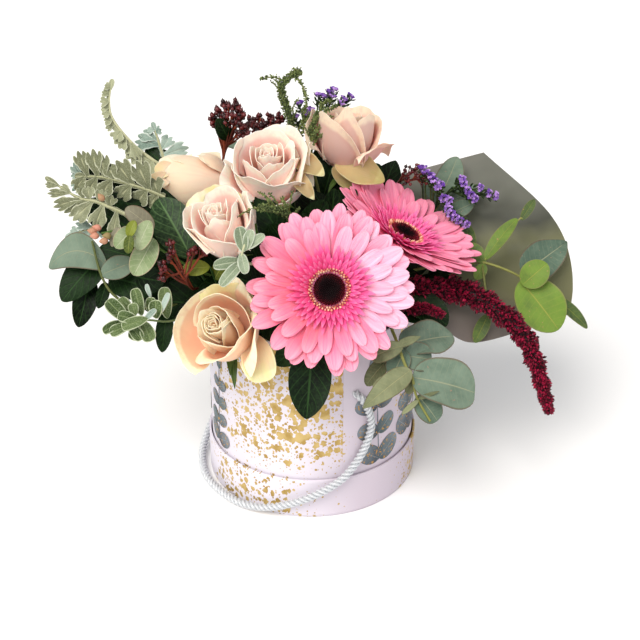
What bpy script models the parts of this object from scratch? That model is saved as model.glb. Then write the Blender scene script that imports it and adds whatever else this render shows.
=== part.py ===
"""A flower hat box: a round card box that stands in its own lid, with a rope handle, a lined block of
wet foam, and gerberas, roses, berries and foliage standing in holes in the foam.

All design values are in millimetres. The box stands on its lid at the origin, +Z is up, and the
arrangement faces -Y. Plants are placed in the plane that faces a person who looks down on the box.
"""

import math
import random

import bmesh
import bpy
from mathutils import Matrix, Vector

MM = 0.001
GAP = 0.3                       # between pieces that rest on or in each other

# Box and lid
BOX_RADIUS = 75.0
CARD = 1.5
BOX_HEIGHT = 140.0
LID_RADIUS = 77.5
LID_HEIGHT = 32.0
BOX_BASE = CARD + GAP           # the box stands on the lid's plate
ROUND_STEPS = 36

# Handle rope
CORD_RADIUS = 3.0
CORD_HOLE_RADIUS = 4.2
CORD_HOLE_HEIGHT = 100.0
CORD_HOLE_ANGLE = 24.0          # degrees from the front, towards +X
KNOT_RADIUS = 6.0
KNOT_CENTRE = 66.9              # from the box's axis

# Liner and foam
FOAM_RADIUS = 60.0
FOAM_TOP = 146.0
FOAM_SHOULDER = 134.0
LINER_WALL = 0.8
LINER_TOP = 90.0
STEM_FOCUS = 20.0               # height on the axis that every stem points at
STEM_DEPTH = 34.0
STEM_RISE = 4.0                 # straight length above the foam

# The view that the arrangement faces
VIEW_TILT = math.radians(29.5)
VIEW_MIDDLE = Vector((6.0, 0.0, 119.0))

LEAF_THICKNESS = 0.8
PETAL_THICKNESS = 0.9

COLOURS = {
    "card": ((0.86, 0.84, 0.88), 0.45),
    "rope": ((0.86, 0.86, 0.84), 0.4),
    "liner": ((0.80, 0.84, 0.84), 0.2),
    "foam": ((0.05, 0.16, 0.07), 0.9),
    "film": ((0.45, 0.45, 0.38), 0.35),
    "gerbera_petal": ((0.93, 0.42, 0.55), 0.5),
    "gerbera_disc": ((0.09, 0.01, 0.02), 0.8),
    "rose_petal": ((0.95, 0.72, 0.62), 0.5),
    "rose_petal_cream": ((0.93, 0.76, 0.56), 0.5),
    "green_stem": ((0.16, 0.28, 0.07), 0.5),
    "dark_leaf": ((0.02, 0.09, 0.02), 0.4),
    "blue_leaf": ((0.22, 0.34, 0.27), 0.6),
    "light_leaf": ((0.26, 0.42, 0.10), 0.5),
    "silver_leaf": ((0.48, 0.54, 0.44), 0.9),
    "pale_leaf": ((0.62, 0.66, 0.48), 0.5),
    "berry": ((0.14, 0.01, 0.02), 0.35),
    "statice": ((0.30, 0.12, 0.55), 0.7),
    "amaranth": ((0.25, 0.01, 0.05), 0.9),
    "moss_green": ((0.20, 0.28, 0.10), 0.8),
}

holes = []                      # (entry point, direction, radius) of each stem's hole in the foam


def clear_scene():
    for obj in list(bpy.data.objects):
        bpy.data.objects.remove(obj)


def new_collection(name):
    collection = bpy.data.collections.new(name)
    bpy.context.scene.collection.children.link(collection)
    return collection


def material(name):
    found = bpy.data.materials.get(name)
    if found:
        return found
    colour, roughness = COLOURS[name]
    made = bpy.data.materials.new(name)
    made.use_nodes = True
    shader = made.node_tree.nodes["Principled BSDF"]
    shader.inputs["Base Color"].default_value = (*colour, 1.0)
    shader.inputs["Roughness"].default_value = roughness
    shader.inputs["Metallic"].default_value = 0.0
    return made


def new_object(name, mesh, collection=None):
    obj = bpy.data.objects.new(name, mesh)
    (collection or part).objects.link(obj)
    return obj


def from_bmesh(name, bm, collection=None):
    mesh = bpy.data.meshes.new(name)
    bm.to_mesh(mesh)
    bm.free()
    return new_object(name, mesh, collection)


def evaluated_mesh(obj):
    graph = bpy.context.evaluated_depsgraph_get()
    graph.update()
    return bpy.data.meshes.new_from_object(obj.evaluated_get(graph))


def finish(obj, name, finish_name, smooth=True):
    obj.name = name
    obj.data.materials.clear()
    obj.data.materials.append(material(finish_name))
    if smooth:
        obj.data.shade_smooth()
        obj.data.set_sharp_from_angle(angle=math.radians(40))
    return obj


def fuse(name, pieces, finish_name):
    """One Boolean union of closed pieces, applied. The pieces are removed."""
    first, rest = pieces[0], pieces[1:]
    if rest:
        joined = bpy.data.collections.new(name + "_repeats")
        for piece in rest:
            joined.objects.link(piece)
            part.objects.unlink(piece)
        bpy.context.scene.collection.children.link(joined)
        union = first.modifiers.new("union", "BOOLEAN")
        union.operation = "UNION"
        union.solver = "MANIFOLD"
        union.operand_type = "COLLECTION"
        union.collection = joined
        mesh = evaluated_mesh(first)
        bpy.data.collections.remove(joined)
    else:
        mesh = evaluated_mesh(first)
    for piece in pieces:
        bpy.data.objects.remove(piece)
    return finish(new_object(name, mesh), name, finish_name)


# Places and directions

def seen(right, up, near):
    """A point from its place in the view: right, up and towards the viewer from the view's middle."""
    return Vector((
        VIEW_MIDDLE.x + right,
        math.sin(VIEW_TILT) * up - math.cos(VIEW_TILT) * near,
        VIEW_MIDDLE.z + math.cos(VIEW_TILT) * up + math.sin(VIEW_TILT) * near,
    ))


def facing(right, up, near):
    """A direction in the view, as a unit vector."""
    return (seen(right, up, near) - VIEW_MIDDLE).normalized()


def frame_at(place, axis, spin=0.0):
    """A matrix whose +Z is axis, turned by spin degrees about it."""
    turn = axis.normalized().to_track_quat("Z", "Y").to_matrix().to_4x4()
    return Matrix.Translation(place) @ turn @ Matrix.Rotation(math.radians(spin), 4, "Z")


def smooth_route(points, steps):
    """Points on a smooth curve through the given ones, steps to a span."""
    ends = [2 * points[0] - points[1], *points, 2 * points[-1] - points[-2]]
    route = []
    for a, b, c, d in zip(ends, ends[1:], ends[2:], ends[3:]):
        for i in range(steps):
            t = i / steps
            route.append(0.5 * (2 * b + (c - a) * t + (2 * a - 5 * b + 4 * c - d) * t**2
                                + (3 * b - a - 3 * c + d) * t**3))
    return [*route, points[-1]]


def stem_route(foot, radius, places, steps=1):
    """A stem's line: straight in its own hole in the foam, which is at foot, then smooth through places."""
    entry = Vector((*foot, FOAM_TOP))
    rising = (entry - Vector((0, 0, STEM_FOCUS))).normalized()
    holes.append((entry, rising, radius))
    return [entry - rising * STEM_DEPTH, *smooth_route([entry + rising * STEM_RISE, *places], steps)]


def on_route(route, share):
    """The point at a share of the way along a route's points."""
    place = share * (len(route) - 1)
    i = min(int(place), len(route) - 2)
    return route[i].lerp(route[i + 1], place - i)


# Shapes that the plants are made of

def tube(name, route, radius, end_radius=None, resolution=0):
    """A round stem along a route, as a closed mesh."""
    end_radius = radius if end_radius is None else end_radius
    curve = bpy.data.curves.new(name, "CURVE")
    curve.dimensions = "3D"
    curve.bevel_depth = radius * MM
    curve.bevel_resolution = resolution
    curve.use_fill_caps = True
    spline = curve.splines.new("POLY")
    spline.points.add(len(route) - 1)
    for i, (point, place) in enumerate(zip(spline.points, route)):
        point.co = (*(place * MM), 1.0)
        point.radius = 1 + (end_radius / radius - 1) * i / (len(route) - 1)
    obj = new_object(name, curve)
    bm = bmesh.new()
    bm.from_mesh(evaluated_mesh(obj))
    bmesh.ops.remove_doubles(bm, verts=bm.verts, dist=0.00001)
    bpy.data.objects.remove(obj)
    return from_bmesh(name, bm)


def sheet(name, cols, rows, point, thickness):
    """A thin solid whose middle surface is point(s, t): s from -1 to 1 across, t from 0 to 1 along."""
    bm = bmesh.new()
    bmesh.ops.create_grid(bm, x_segments=cols, y_segments=rows, size=1.0)
    for vert in bm.verts:
        vert.co = point(vert.co.x, (vert.co.y + 1) / 2) * MM
    obj = from_bmesh(name, bm)
    solid = obj.modifiers.new("thickness", "SOLIDIFY")
    solid.thickness = thickness * MM
    solid.offset = 0
    return obj


def outline(t, grow, close, narrowest):
    """A blade's half-width at t, as a share of its widest."""
    peak = grow / (grow + close)
    most = peak**grow * (1 - peak)**close
    return max(narrowest, t**grow * (1 - t)**close / most)


def blade(name, root, tip, width, face, cols=2, rows=2, grow=0.6, close=0.6, arch=0.08, cup=0.15,
          sway=Vector(), narrowest=0.1, thickness=LEAF_THICKNESS):
    """A leaf or petal from root to tip, arched along its length, cupped across it and bowed by sway."""
    along = tip - root
    side = along.cross(face).normalized()
    lift = side.cross(along).normalized()

    def point(s, t):
        half = width / 2 * outline(t, grow, close, narrowest)
        bow = 4 * t * (1 - t)
        rise = arch * along.length * bow + cup * half * s * s
        return root + along * t + side * (s * half) + lift * rise + sway * bow

    return sheet(name, cols, rows, point, thickness)


def lobed_blade(name, root, tip, width, face, lobes=4, arch=0.1, cup=0.2, depth=0.62, sway=Vector()):
    """A leaf cut into rounded lobes nearly to its rib, in one outline."""
    along = tip - root
    side = along.cross(face).normalized()
    lift = side.cross(along).normalized()
    rows = 2 * lobes + 1

    def point(s, t):
        row = round(t * rows)
        notch = row % 2 == 0
        share = outline(t, 0.7, 0.45, 0.12) * ((1 - depth) if notch and row else 1)
        half = width / 2 * share
        forward = 0.0 if notch else 0.5 / rows
        place = min(1.0, t + forward * abs(s)) if t < 1 else t
        bow = 4 * place * (1 - place)
        rise = arch * along.length * bow + cup * half * s * s
        return root + along * place + side * (s * half) + lift * rise + sway * bow

    return sheet(name, 1, rows, point, LEAF_THICKNESS)


def ball(name, centre, radius, stretch=1.0, axis=Vector((0, 0, 1))):
    bm = bmesh.new()
    bmesh.ops.create_icosphere(bm, subdivisions=1, radius=radius * MM)
    bmesh.ops.scale(bm, vec=(1, 1, stretch), verts=bm.verts)
    bmesh.ops.transform(bm, matrix=frame_at(centre * MM, axis), verts=bm.verts)
    return from_bmesh(name, bm)


def spike(name, start, end, start_radius, end_radius, sides=4):
    """A straight tapered twig, floret or bud."""
    bm = bmesh.new()
    bmesh.ops.create_cone(bm, cap_ends=True, segments=sides, radius1=start_radius * MM,
                          radius2=end_radius * MM, depth=(end - start).length * MM)
    bmesh.ops.transform(bm, matrix=frame_at((start + end) / 2 * MM, end - start), verts=bm.verts)
    return from_bmesh(name, bm)


def turned(name, profile, steps=ROUND_STEPS):
    """A turned solid. The profile is (radius, height) pairs, down its outer side."""
    bm = bmesh.new()
    verts = [bm.verts.new((r * MM, 0, z * MM)) for r, z in profile]
    for a, b in zip(verts, verts[1:]):
        bm.edges.new((a, b))
    if profile[0][0] > 0:
        bm.edges.new((verts[-1], verts[0]))
    obj = from_bmesh(name, bm)
    screw = obj.modifiers.new("turn", "SCREW")
    screw.steps = screw.render_steps = steps
    screw.use_merge_vertices = True
    screw.merge_threshold = 0.0001
    return obj


def cut(obj, cutters):
    """Cuts each cutter from obj. The cutters stay in their own collection."""
    for cutter in cutters:
        part.objects.unlink(cutter)
        tools.objects.link(cutter)
        cutter.hide_render = True
        cutter.display_type = "WIRE"
        hole = obj.modifiers.new("hole", "BOOLEAN")
        hole.operation = "DIFFERENCE"
        hole.solver = "MANIFOLD"
        hole.object = cutter
    return obj


# Box, lid, handle, liner and foam

def make_box():
    top = BOX_BASE + BOX_HEIGHT
    inner = BOX_RADIUS - CARD
    wall = turned("box_wall", [(BOX_RADIUS, top), (BOX_RADIUS, BOX_BASE), (inner, BOX_BASE), (inner, top)])
    angle = math.radians(CORD_HOLE_ANGLE)
    outward = Vector((math.sin(angle), -math.cos(angle), 0))
    height = Vector((0, 0, CORD_HOLE_HEIGHT))
    drills = [spike("cord_hole_cutter", height + way * outward * 60, height + way * outward * 90,
                    CORD_HOLE_RADIUS, CORD_HOLE_RADIUS, 10) for way in (1, -1)]
    finish(cut(wall, drills), "box_wall", "card")
    rim = inner - GAP
    floor = turned("box_floor", [(0, BOX_BASE + CARD), (rim, BOX_BASE + CARD), (rim, BOX_BASE), (0, BOX_BASE)],
                   32)
    finish(floor, "box_floor", "card")


def make_lid():
    inner = LID_RADIUS - CARD
    band = turned("lid_band", [(LID_RADIUS, LID_HEIGHT), (LID_RADIUS, 0), (inner, 0), (inner, LID_HEIGHT)])
    finish(band, "lid_band", "card")
    plate = turned("lid_plate", [(0, CARD), (inner - GAP, CARD), (inner - GAP, 0), (0, 0)])
    finish(plate, "lid_plate", "card")


def make_liner():
    floor = BOX_BASE + CARD + GAP
    inner = FOAM_RADIUS + 0.5
    outer = inner + LINER_WALL
    bowl = turned("liner", [(outer, LINER_TOP), (outer, floor), (0, floor), (0, floor + LINER_WALL),
                            (inner, floor + LINER_WALL), (inner, LINER_TOP), (outer, LINER_TOP)], 28)
    finish(bowl, "liner", "liner")


def make_foam():
    base = BOX_BASE + CARD + GAP + LINER_WALL + GAP
    block = turned("foam", [(0, FOAM_TOP), (FOAM_RADIUS - 9, FOAM_TOP), (FOAM_RADIUS, FOAM_SHOULDER),
                            (FOAM_RADIUS, base), (0, base)], 24)
    drills = []
    for entry, rising, radius in holes:
        wide = (radius + GAP) / math.cos(math.pi / 5)
        drills.append(spike("stem_hole_cutter", entry - rising * (STEM_DEPTH + GAP), entry + rising * 12,
                            wide, wide, 5))
    finish(cut(block, drills), "foam", "foam")


def cord_route():
    """The rope's line, from the hole at the front right, round the left of the lid, to the hole behind."""
    def around(angle, radius, height):
        turn = math.radians(angle)
        return Vector((radius * math.sin(turn), -radius * math.cos(turn), height))

    front, back = CORD_HOLE_ANGLE, CORD_HOLE_ANGLE - 180
    return [
        around(front, KNOT_CENTRE + KNOT_RADIUS - 2.6, CORD_HOLE_HEIGHT),
        around(front, 75.0, CORD_HOLE_HEIGHT),
        around(front + 2, 79.4, 97.0),
        around(front + 6, 79.2, 86.0),
        around(front + 8, 79.0, 72.0),
        around(front + 5, 79.0, 57.0),
        around(front - 1, 79.6, 44.0),
        around(front - 9, 81.6, 34.0),
        around(front - 20, 82.6, 25.0),
        around(front - 34, 82.6, 15.0),
        around(front - 50, 82.8, 6.5),
        around(front - 68, 83.6, 3.4),
        around(front - 90, 84.6, 3.2),
        around(front - 110, 84.0, 3.4),
        around(front - 125, 83.0, 8.0),
        around(front - 138, 82.2, 18.0),
        around(front - 149, 81.8, 30.0),
        around(front - 159, 80.6, 43.0),
        around(front - 169, 79.4, 57.0),
        around(back + 3, 79.2, 71.0),
        around(back - 3, 79.2, 85.0),
        around(back - 1, 79.4, 97.0),
        around(back, 75.0, CORD_HOLE_HEIGHT),
        around(back, KNOT_CENTRE + KNOT_RADIUS - 2.6, CORD_HOLE_HEIGHT),
    ]


def make_handle():
    finish(tube("handle_cord", cord_route(), CORD_RADIUS, resolution=2), "handle_cord", "rope")
    for name, angle in (("handle_knot_front", CORD_HOLE_ANGLE), ("handle_knot_back", CORD_HOLE_ANGLE - 180)):
        turn = math.radians(angle)
        outward = Vector((math.sin(turn), -math.cos(turn), 0))
        turns = [(KNOT_RADIUS - 2.0, 3.0), (KNOT_RADIUS, 1.8), (KNOT_RADIUS - 1.2, 0.6),
                 (KNOT_RADIUS, -0.6), (KNOT_RADIUS - 2.0, -1.8)]
        profile = [(0, 3.0), *turns, (0, -1.8)]
        knot = turned(name, profile, 12)
        knot.matrix_world = frame_at((outward * KNOT_CENTRE + Vector((0, 0, CORD_HOLE_HEIGHT))) * MM, outward)
        finish(knot, name, "rope")


def make_film():
    """A sheet of frosted wrap tucked inside the rim on the right, which flares out over it."""
    def on_rim(turn, radius, height):
        return Vector((radius * math.cos(turn), radius * math.sin(turn), height))

    edge = [seen(*place) for place in FILM_EDGE]

    def point(s, t):
        across = (s + 1) / 2
        turn = math.radians(FILM_START + (FILM_END - FILM_START) * across)
        low, crest = on_rim(turn, 69.5, 124.0), on_rim(turn, 71.0, 146.0)
        if t < 0.3:
            return low.lerp(crest, t * 4)
        out = (t - 0.25) / 0.75
        bow = FILM_BOW * math.sin(math.pi * out) * Vector((0, 0, 1))
        return crest.lerp(on_route(edge, across), out) + bow

    finish(sheet("film_sheet", len(FILM_EDGE) - 1, 4, point, 0.8), "film_sheet", "film")


FILM_START = -20.0              # degrees from +X, round the rim
FILM_END = 78.0
FILM_BOW = 5.0
FILM_EDGE = [(92, -10, 36), (119, -3, 24), (151, -6, 14), (180, 10, 0), (184, 42, -10), (170, 80, -24),
             (123, 126, -36), (56, 109, -44)]


# Blooms

def ray_ring(name, place, count, turn, rows):
    """One ring of rays, joined at their roots. Each row is (radius, height, share of the ring filled)."""
    bm = bmesh.new()
    bmesh.ops.create_grid(bm, x_segments=2 * count, y_segments=len(rows) - 1, size=1.0)
    gaps = []
    for face in bm.faces:
        middle = face.calc_center_median()
        column = int((middle.x + 1) * count)
        if column % 2 and middle.y > 2 / (len(rows) - 1) - 1:
            gaps.append(face)
    lengths = [draw.uniform(0.95, 1.02) for _ in range(count)]
    lifts = [draw.uniform(-0.8, 0.8) for _ in range(count)]
    for vert in bm.verts:
        column = round((vert.co.x + 1) * count)
        row = round((vert.co.y + 1) / 2 * (len(rows) - 1))
        radius, height, share = rows[row]
        ray = column // 2 % count
        angle = 2 * math.pi * (column // 2 + turn) / count + (1 if column % 2 else -1) * share * math.pi / count
        if row == len(rows) - 1:
            radius *= lengths[ray]
            height += lifts[ray]
        vert.co = place @ Vector((radius * math.cos(angle), radius * math.sin(angle), height)) * MM
    bmesh.ops.delete(bm, geom=gaps, context="FACES")
    bmesh.ops.remove_doubles(bm, verts=bm.verts, dist=0.00001)
    obj = from_bmesh(name, bm)
    solid = obj.modifiers.new("thickness", "SOLIDIFY")
    solid.thickness = PETAL_THICKNESS * MM
    solid.offset = 0
    return obj


def gerbera(name, centre, axis, radius, spin, foot, bend, cupped):
    """Two rings of rays and a ring of short florets round a dark disc, on a bare stem."""
    place = frame_at(centre, axis, spin)
    core = spike(name + "_core", place @ Vector((0, 0, -3.4)), place @ Vector((0, 0, 3.4)), 12.0, 13.0, 12)
    pieces = [core]
    for count, turn, rows in GERBERA_RINGS:
        rows = [(r * (radius / 56.0 if r > 16 else 1.0), z + cupped * (r / 56.0)**2, share) for r, z, share in rows]
        pieces.append(ray_ring(f"{name}_rays", place, count, turn, rows))
    fuse(name + "_petals", pieces, "gerbera_petal")

    profile = [(0, 5.2), (4.5, 5.8), (8.0, 7.4), (10.4, 3.4 + GAP), (0, 3.4 + GAP)]
    disc = turned(name + "_disc", profile, 14)
    disc.matrix_world = frame_at(centre * MM, axis)
    finish(disc, name + "_disc", "gerbera_disc")

    neck = centre - axis * (3.4 + GAP)
    calyx = spike(name + "_calyx", neck - axis * 9, neck, 3.2, 11.0, 10)
    route = stem_route(foot, GERBERA_STEM, [bend, neck - axis * 16, neck - axis * 6])
    fuse(name + "_stem", [tube(name + "_stalk", route, GERBERA_STEM, resolution=1), calyx], "green_stem")


def rose_petal(name, place, azimuth, half_angle, rim, height, root, curl, lean, rows, cols=3):
    """One petal of a rose, wrapped round the axis of its head. One side lies inside its neighbour."""
    root_radius, root_height = root

    def point(s, t):
        angle = azimuth + s * half_angle * (0.5 + 0.5 * t**0.5)
        out = root_radius + (rim - root_radius) * t**ROSE_BELLY
        roll = curl * max(0.0, t - 0.6)**2 / 0.16
        out = out * (1 + ROSE_OVERLAP * s * t) + roll
        up = root_height + (height - root_height) * t - 0.5 * roll - lean * s * s * t * t
        return place @ Vector((out * math.cos(angle), out * math.sin(angle), up))

    return sheet(name, cols, rows, point, PETAL_THICKNESS)


def rose(name, base, axis, rim, height, spin, foot, bend, colour="rose_petal", openness=1.0, extra=()):
    """Petals in four rings round a bud, over sepals and a leafless stem."""
    place = frame_at(base, axis, spin)
    bm = bmesh.new()
    bmesh.ops.create_uvsphere(bm, u_segments=6, v_segments=4, radius=1)
    for vert in bm.verts:
        share = (vert.co.z + 1) / 2
        wide = 0.38 * rim * (1 - 0.5 * share)
        vert.co = place @ Vector((vert.co.x * wide, vert.co.y * wide, height * (0.03 + 0.93 * share))) * MM
    pieces = [from_bmesh(name + "_bud", bm)]
    for ring, (count, reach, tall, spread, root_height, curl) in enumerate(ROSE_RINGS):
        for i in range(count):
            azimuth = 2 * math.pi * (i + 0.5 * ring) / count + draw.uniform(-0.08, 0.08)
            reach_here = rim * (reach + (openness - 1) * reach**3)
            pieces.append(rose_petal(f"{name}_petal", place, azimuth, math.radians(spread), reach_here,
                                     height * tall * draw.uniform(0.97, 1.03),
                                     (0.05 * rim, height * root_height), curl * rim, 0.10 * height,
                                     2, 3 if ring == 2 else 2))
    for azimuth, spread, reach, tall, curl in extra:
        pieces.append(rose_petal(f"{name}_outer", place, math.radians(azimuth), math.radians(spread),
                                 rim * reach, height * tall, (0.05 * rim, height * 0.10), curl * rim,
                                 0.15 * height, 3))
    fuse(name + "_bloom", pieces, colour)

    neck = base + axis * (0.03 * height - GAP)
    hip = spike(name + "_hip", neck - axis * 9, neck - axis * 0.6, 3.4, 5.5, 6)
    green = [hip]
    for i in range(5):
        angle = 2 * math.pi * (i + 0.3) / 5
        out = place.to_3x3() @ Vector((math.cos(angle), math.sin(angle), 0))
        root = neck - axis * 5 + out * 3
        green.append(spike(f"{name}_sepal", root, root + out * 11 - axis * 8, 2.2, 0.5, 3))
    route = stem_route(foot, ROSE_STEM, [bend, neck - axis * 13, neck - axis * 5])
    fuse(name + "_stem", [tube(name + "_stalk", route, ROSE_STEM), *green], "green_stem")


# Foliage and small flowers

def leafy_stem(name, finish_name, foot, places, leaves, radius=1.3, twigs=(), make=blade, **shape):
    """A stem from its hole in the foam through the given places. Each leaf is (share of the way along
    the stem or a point, tip, width, face)."""
    route = stem_route(foot, radius, places)
    pieces = [tube(name + "_stalk", route, radius, radius * 0.6)]
    for points, thick in twigs:
        pieces.append(tube(name + "_twig", smooth_route(points, 2), thick, thick * 0.7, 0))
    for leaf in leaves:
        share, tip, width, face, *more = leaf
        root = share if isinstance(share, Vector) else on_route(route, share)
        options = {**shape, **(more[0] if more else {})}
        pieces.append(make(name + "_leaf", root, tip, width, face, **options))
    return fuse(name, pieces, finish_name)


def berry_stem(name, finish_name, foot, places, berries, berry=3.1, leaves=(), radius=1.3):
    """Round berries on short twigs that leave the end of the stem."""
    route = stem_route(foot, radius, places)
    pieces = [tube(name + "_stalk", route, radius, radius * 0.7)]
    for share, place in berries:
        root = on_route(route, share)
        pieces.append(spike(name + "_twig", root, place, 0.6, 0.5, 3))
        pieces.append(ball(name + "_berry", place, berry, 1.15, place - root))
    for share, tip, width, face in leaves:
        pieces.append(blade(name + "_leaf", on_route(route, share), tip, width, face))
    return fuse(name, pieces, finish_name)


def statice(name, foot, places, sprays):
    """Stiff green twigs with purple florets crowded along their tips."""
    route = stem_route(foot, 1.3, places)
    pieces = [tube(name + "_stalk", route, 1.3, 0.9)]
    for share, tip in sprays:
        root = on_route(route, share)
        pieces.append(spike(name + "_twig", root, tip, 0.9, 0.9, 3))
        away = (tip - root).normalized()
        pieces.append(spike(name + "_floret", tip - away, tip + away * 4.5, 0.9, 2.8, 5))
    return fuse(name, pieces, "statice")


def tassel(name, finish_name, foot, places, flowers_from, thick, grain=5.0, sides=6, lump=0.22):
    """A hanging spike, crowded with tiny flowers that stand out of it as relief."""
    route = stem_route(foot, 1.4, places, 2)
    start = int(flowers_from * (len(route) - 1))
    stalk = tube(name + "_stalk", route[:start + 2], 1.4, 1.2)
    core = route[start:]
    length = sum((b - a).length for a, b in zip(core, core[1:]))
    rows = max(4, round(length / grain))

    bm = bmesh.new()
    bmesh.ops.create_cone(bm, cap_ends=True, segments=sides, radius1=MM, radius2=MM, depth=MM)
    caps = [f for f in bm.faces if len(f.verts) == sides]
    walls = [e for e in bm.edges if abs(e.verts[0].co.z - e.verts[1].co.z) > MM / 2]
    bmesh.ops.subdivide_edges(bm, edges=walls, cuts=rows - 1)
    for vert in bm.verts:
        t = max(0.0, min(1.0, vert.co.z / MM + 0.5))
        row = round(t * rows)
        angle = math.atan2(vert.co.y, vert.co.x)
        place = on_route(core, t)
        ahead = (on_route(core, min(1, t + 0.02)) - on_route(core, max(0, t - 0.02))).normalized()
        side = ahead.cross(Vector((0.3, 1, 0.2))).normalized()
        other = ahead.cross(side)
        step = round(angle / (2 * math.pi / sides))
        bump = 1 + lump * (1 if (row + step) % 2 else -1) + draw.uniform(-0.06, 0.06)
        wide = thick(t) * (bump if 0 < row < rows else 0.5)
        vert.co = (place + (side * math.cos(angle) + other * math.sin(angle)) * wide) * MM
    bmesh.ops.triangulate(bm, faces=caps)
    return fuse(name, [from_bmesh(name + "_spike", bm), stalk], finish_name)


def leaf_fan(name, finish_name, foot, places, count, length, width, spread, radius=1.4, first=0.45):
    """Filler: a stem with leaves by turns on either side, opening away from it."""
    route = stem_route(foot, radius, places)
    pieces = [tube(name + "_stalk", route, radius, radius * 0.6)]
    for i in range(count):
        share = first + (1 - first) * i / max(1, count - 1)
        root = on_route(route, share)
        ahead = (on_route(route, min(1, share + 0.05)) - on_route(route, share - 0.05)).normalized()
        side = ahead.cross(Vector((0, 0, 1))).normalized() * (1 if i % 2 else -1)
        lean = spread if i < count - 1 else 0.0
        way = (ahead + side * lean + Vector((0, 0, 0.25))).normalized()
        face = (Vector((0, 0, 1)) - way * way.z).normalized()
        pieces.append(blade(name + "_leaf", root, root + way * length, width, face, 2, 3, 0.6, 0.75, 0.10))
    return fuse(name, pieces, finish_name)


# (rays, turn, rows) of each ring of a gerbera, from the outermost ring in
GERBERA_RINGS = (
    (16, 0.0, ((11.2, -2.2, 1.0), (15.0, -2.2, 1.0), (43.0, -1.2, 0.95), (56.0, -1.5, 0.42))),
    (14, 0.3, ((11.2, 0.2, 1.0), (15.0, 0.4, 1.0), (36.0, 3.4, 0.92), (48.0, 5.5, 0.42))),
    (12, 0.1, ((11.4, 2.2, 1.0), (13.8, 3.0, 1.0), (25.0, 8.6, 0.5))),
)
GERBERA_STEM = 2.4
ROSE_STEM = 2.0
ROSE_BELLY = 0.6                # under 1, so that a petal bulges near its root
ROSE_OVERLAP = 0.08             # how far a petal's free side stands outside its tucked side
# (petals, rim radius and height as shares, half angle in degrees, root height as a share, curl)
ROSE_RINGS = (
    (2, 0.42, 1.00, 78, 0.36, 0.00),
    (3, 0.68, 0.93, 60, 0.18, 0.05),
    (5, 1.00, 0.72, 40, 0.09, 0.18),
)

OUT = facing(0, 0.2, 1)         # towards the viewer, tilted up a little
UP = Vector((0, 0, 1))


def make_blooms():
    front = facing(0.02, 0.0, 1)
    gerbera("gerbera_front", seen(6, 20, 99), front, 56.0, 5.0, (8, -38), seen(4, 10, 62), 3.0)
    tilted = facing(0.43, 0.76, 0.49)
    gerbera("gerbera_back", seen(59, 60, 30), tilted, 56.0, 0.0, (36, 0), seen(50, 42, 18), 9.0)

    rose("rose_top", seen(-34, 86, 18), facing(-0.05, 0.55, 0.83), 35.0, 44.0, 20.0, (-14, 6),
         seen(-26, 55, 8))
    rose("rose_right", seen(16, 100, 4), facing(0.42, 0.85, 0.30), 29.0, 50.0, 60.0, (12, 24),
         seen(10, 70, -4), openness=0.92)
    rose("rose_mid", seen(-60, 48, 60), facing(-0.18, 0.62, 0.76), 26.0, 46.0, 100.0, (-26, -16),
         seen(-50, 20, 38))
    rose("rose_left", seen(-66, 92, 20), facing(-0.93, 0.10, 0.30), 19.0, 50.0, 0.0, (-34, 8),
         seen(-46, 58, -2), "rose_petal_cream", 0.92)
    rose("rose_low", seen(-58, 4, 58), facing(-0.24, -0.22, 0.95), 32.0, 44.0, 40.0, (-26, -38),
         Vector((-38, -34, 160)), "rose_petal_cream")


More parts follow.
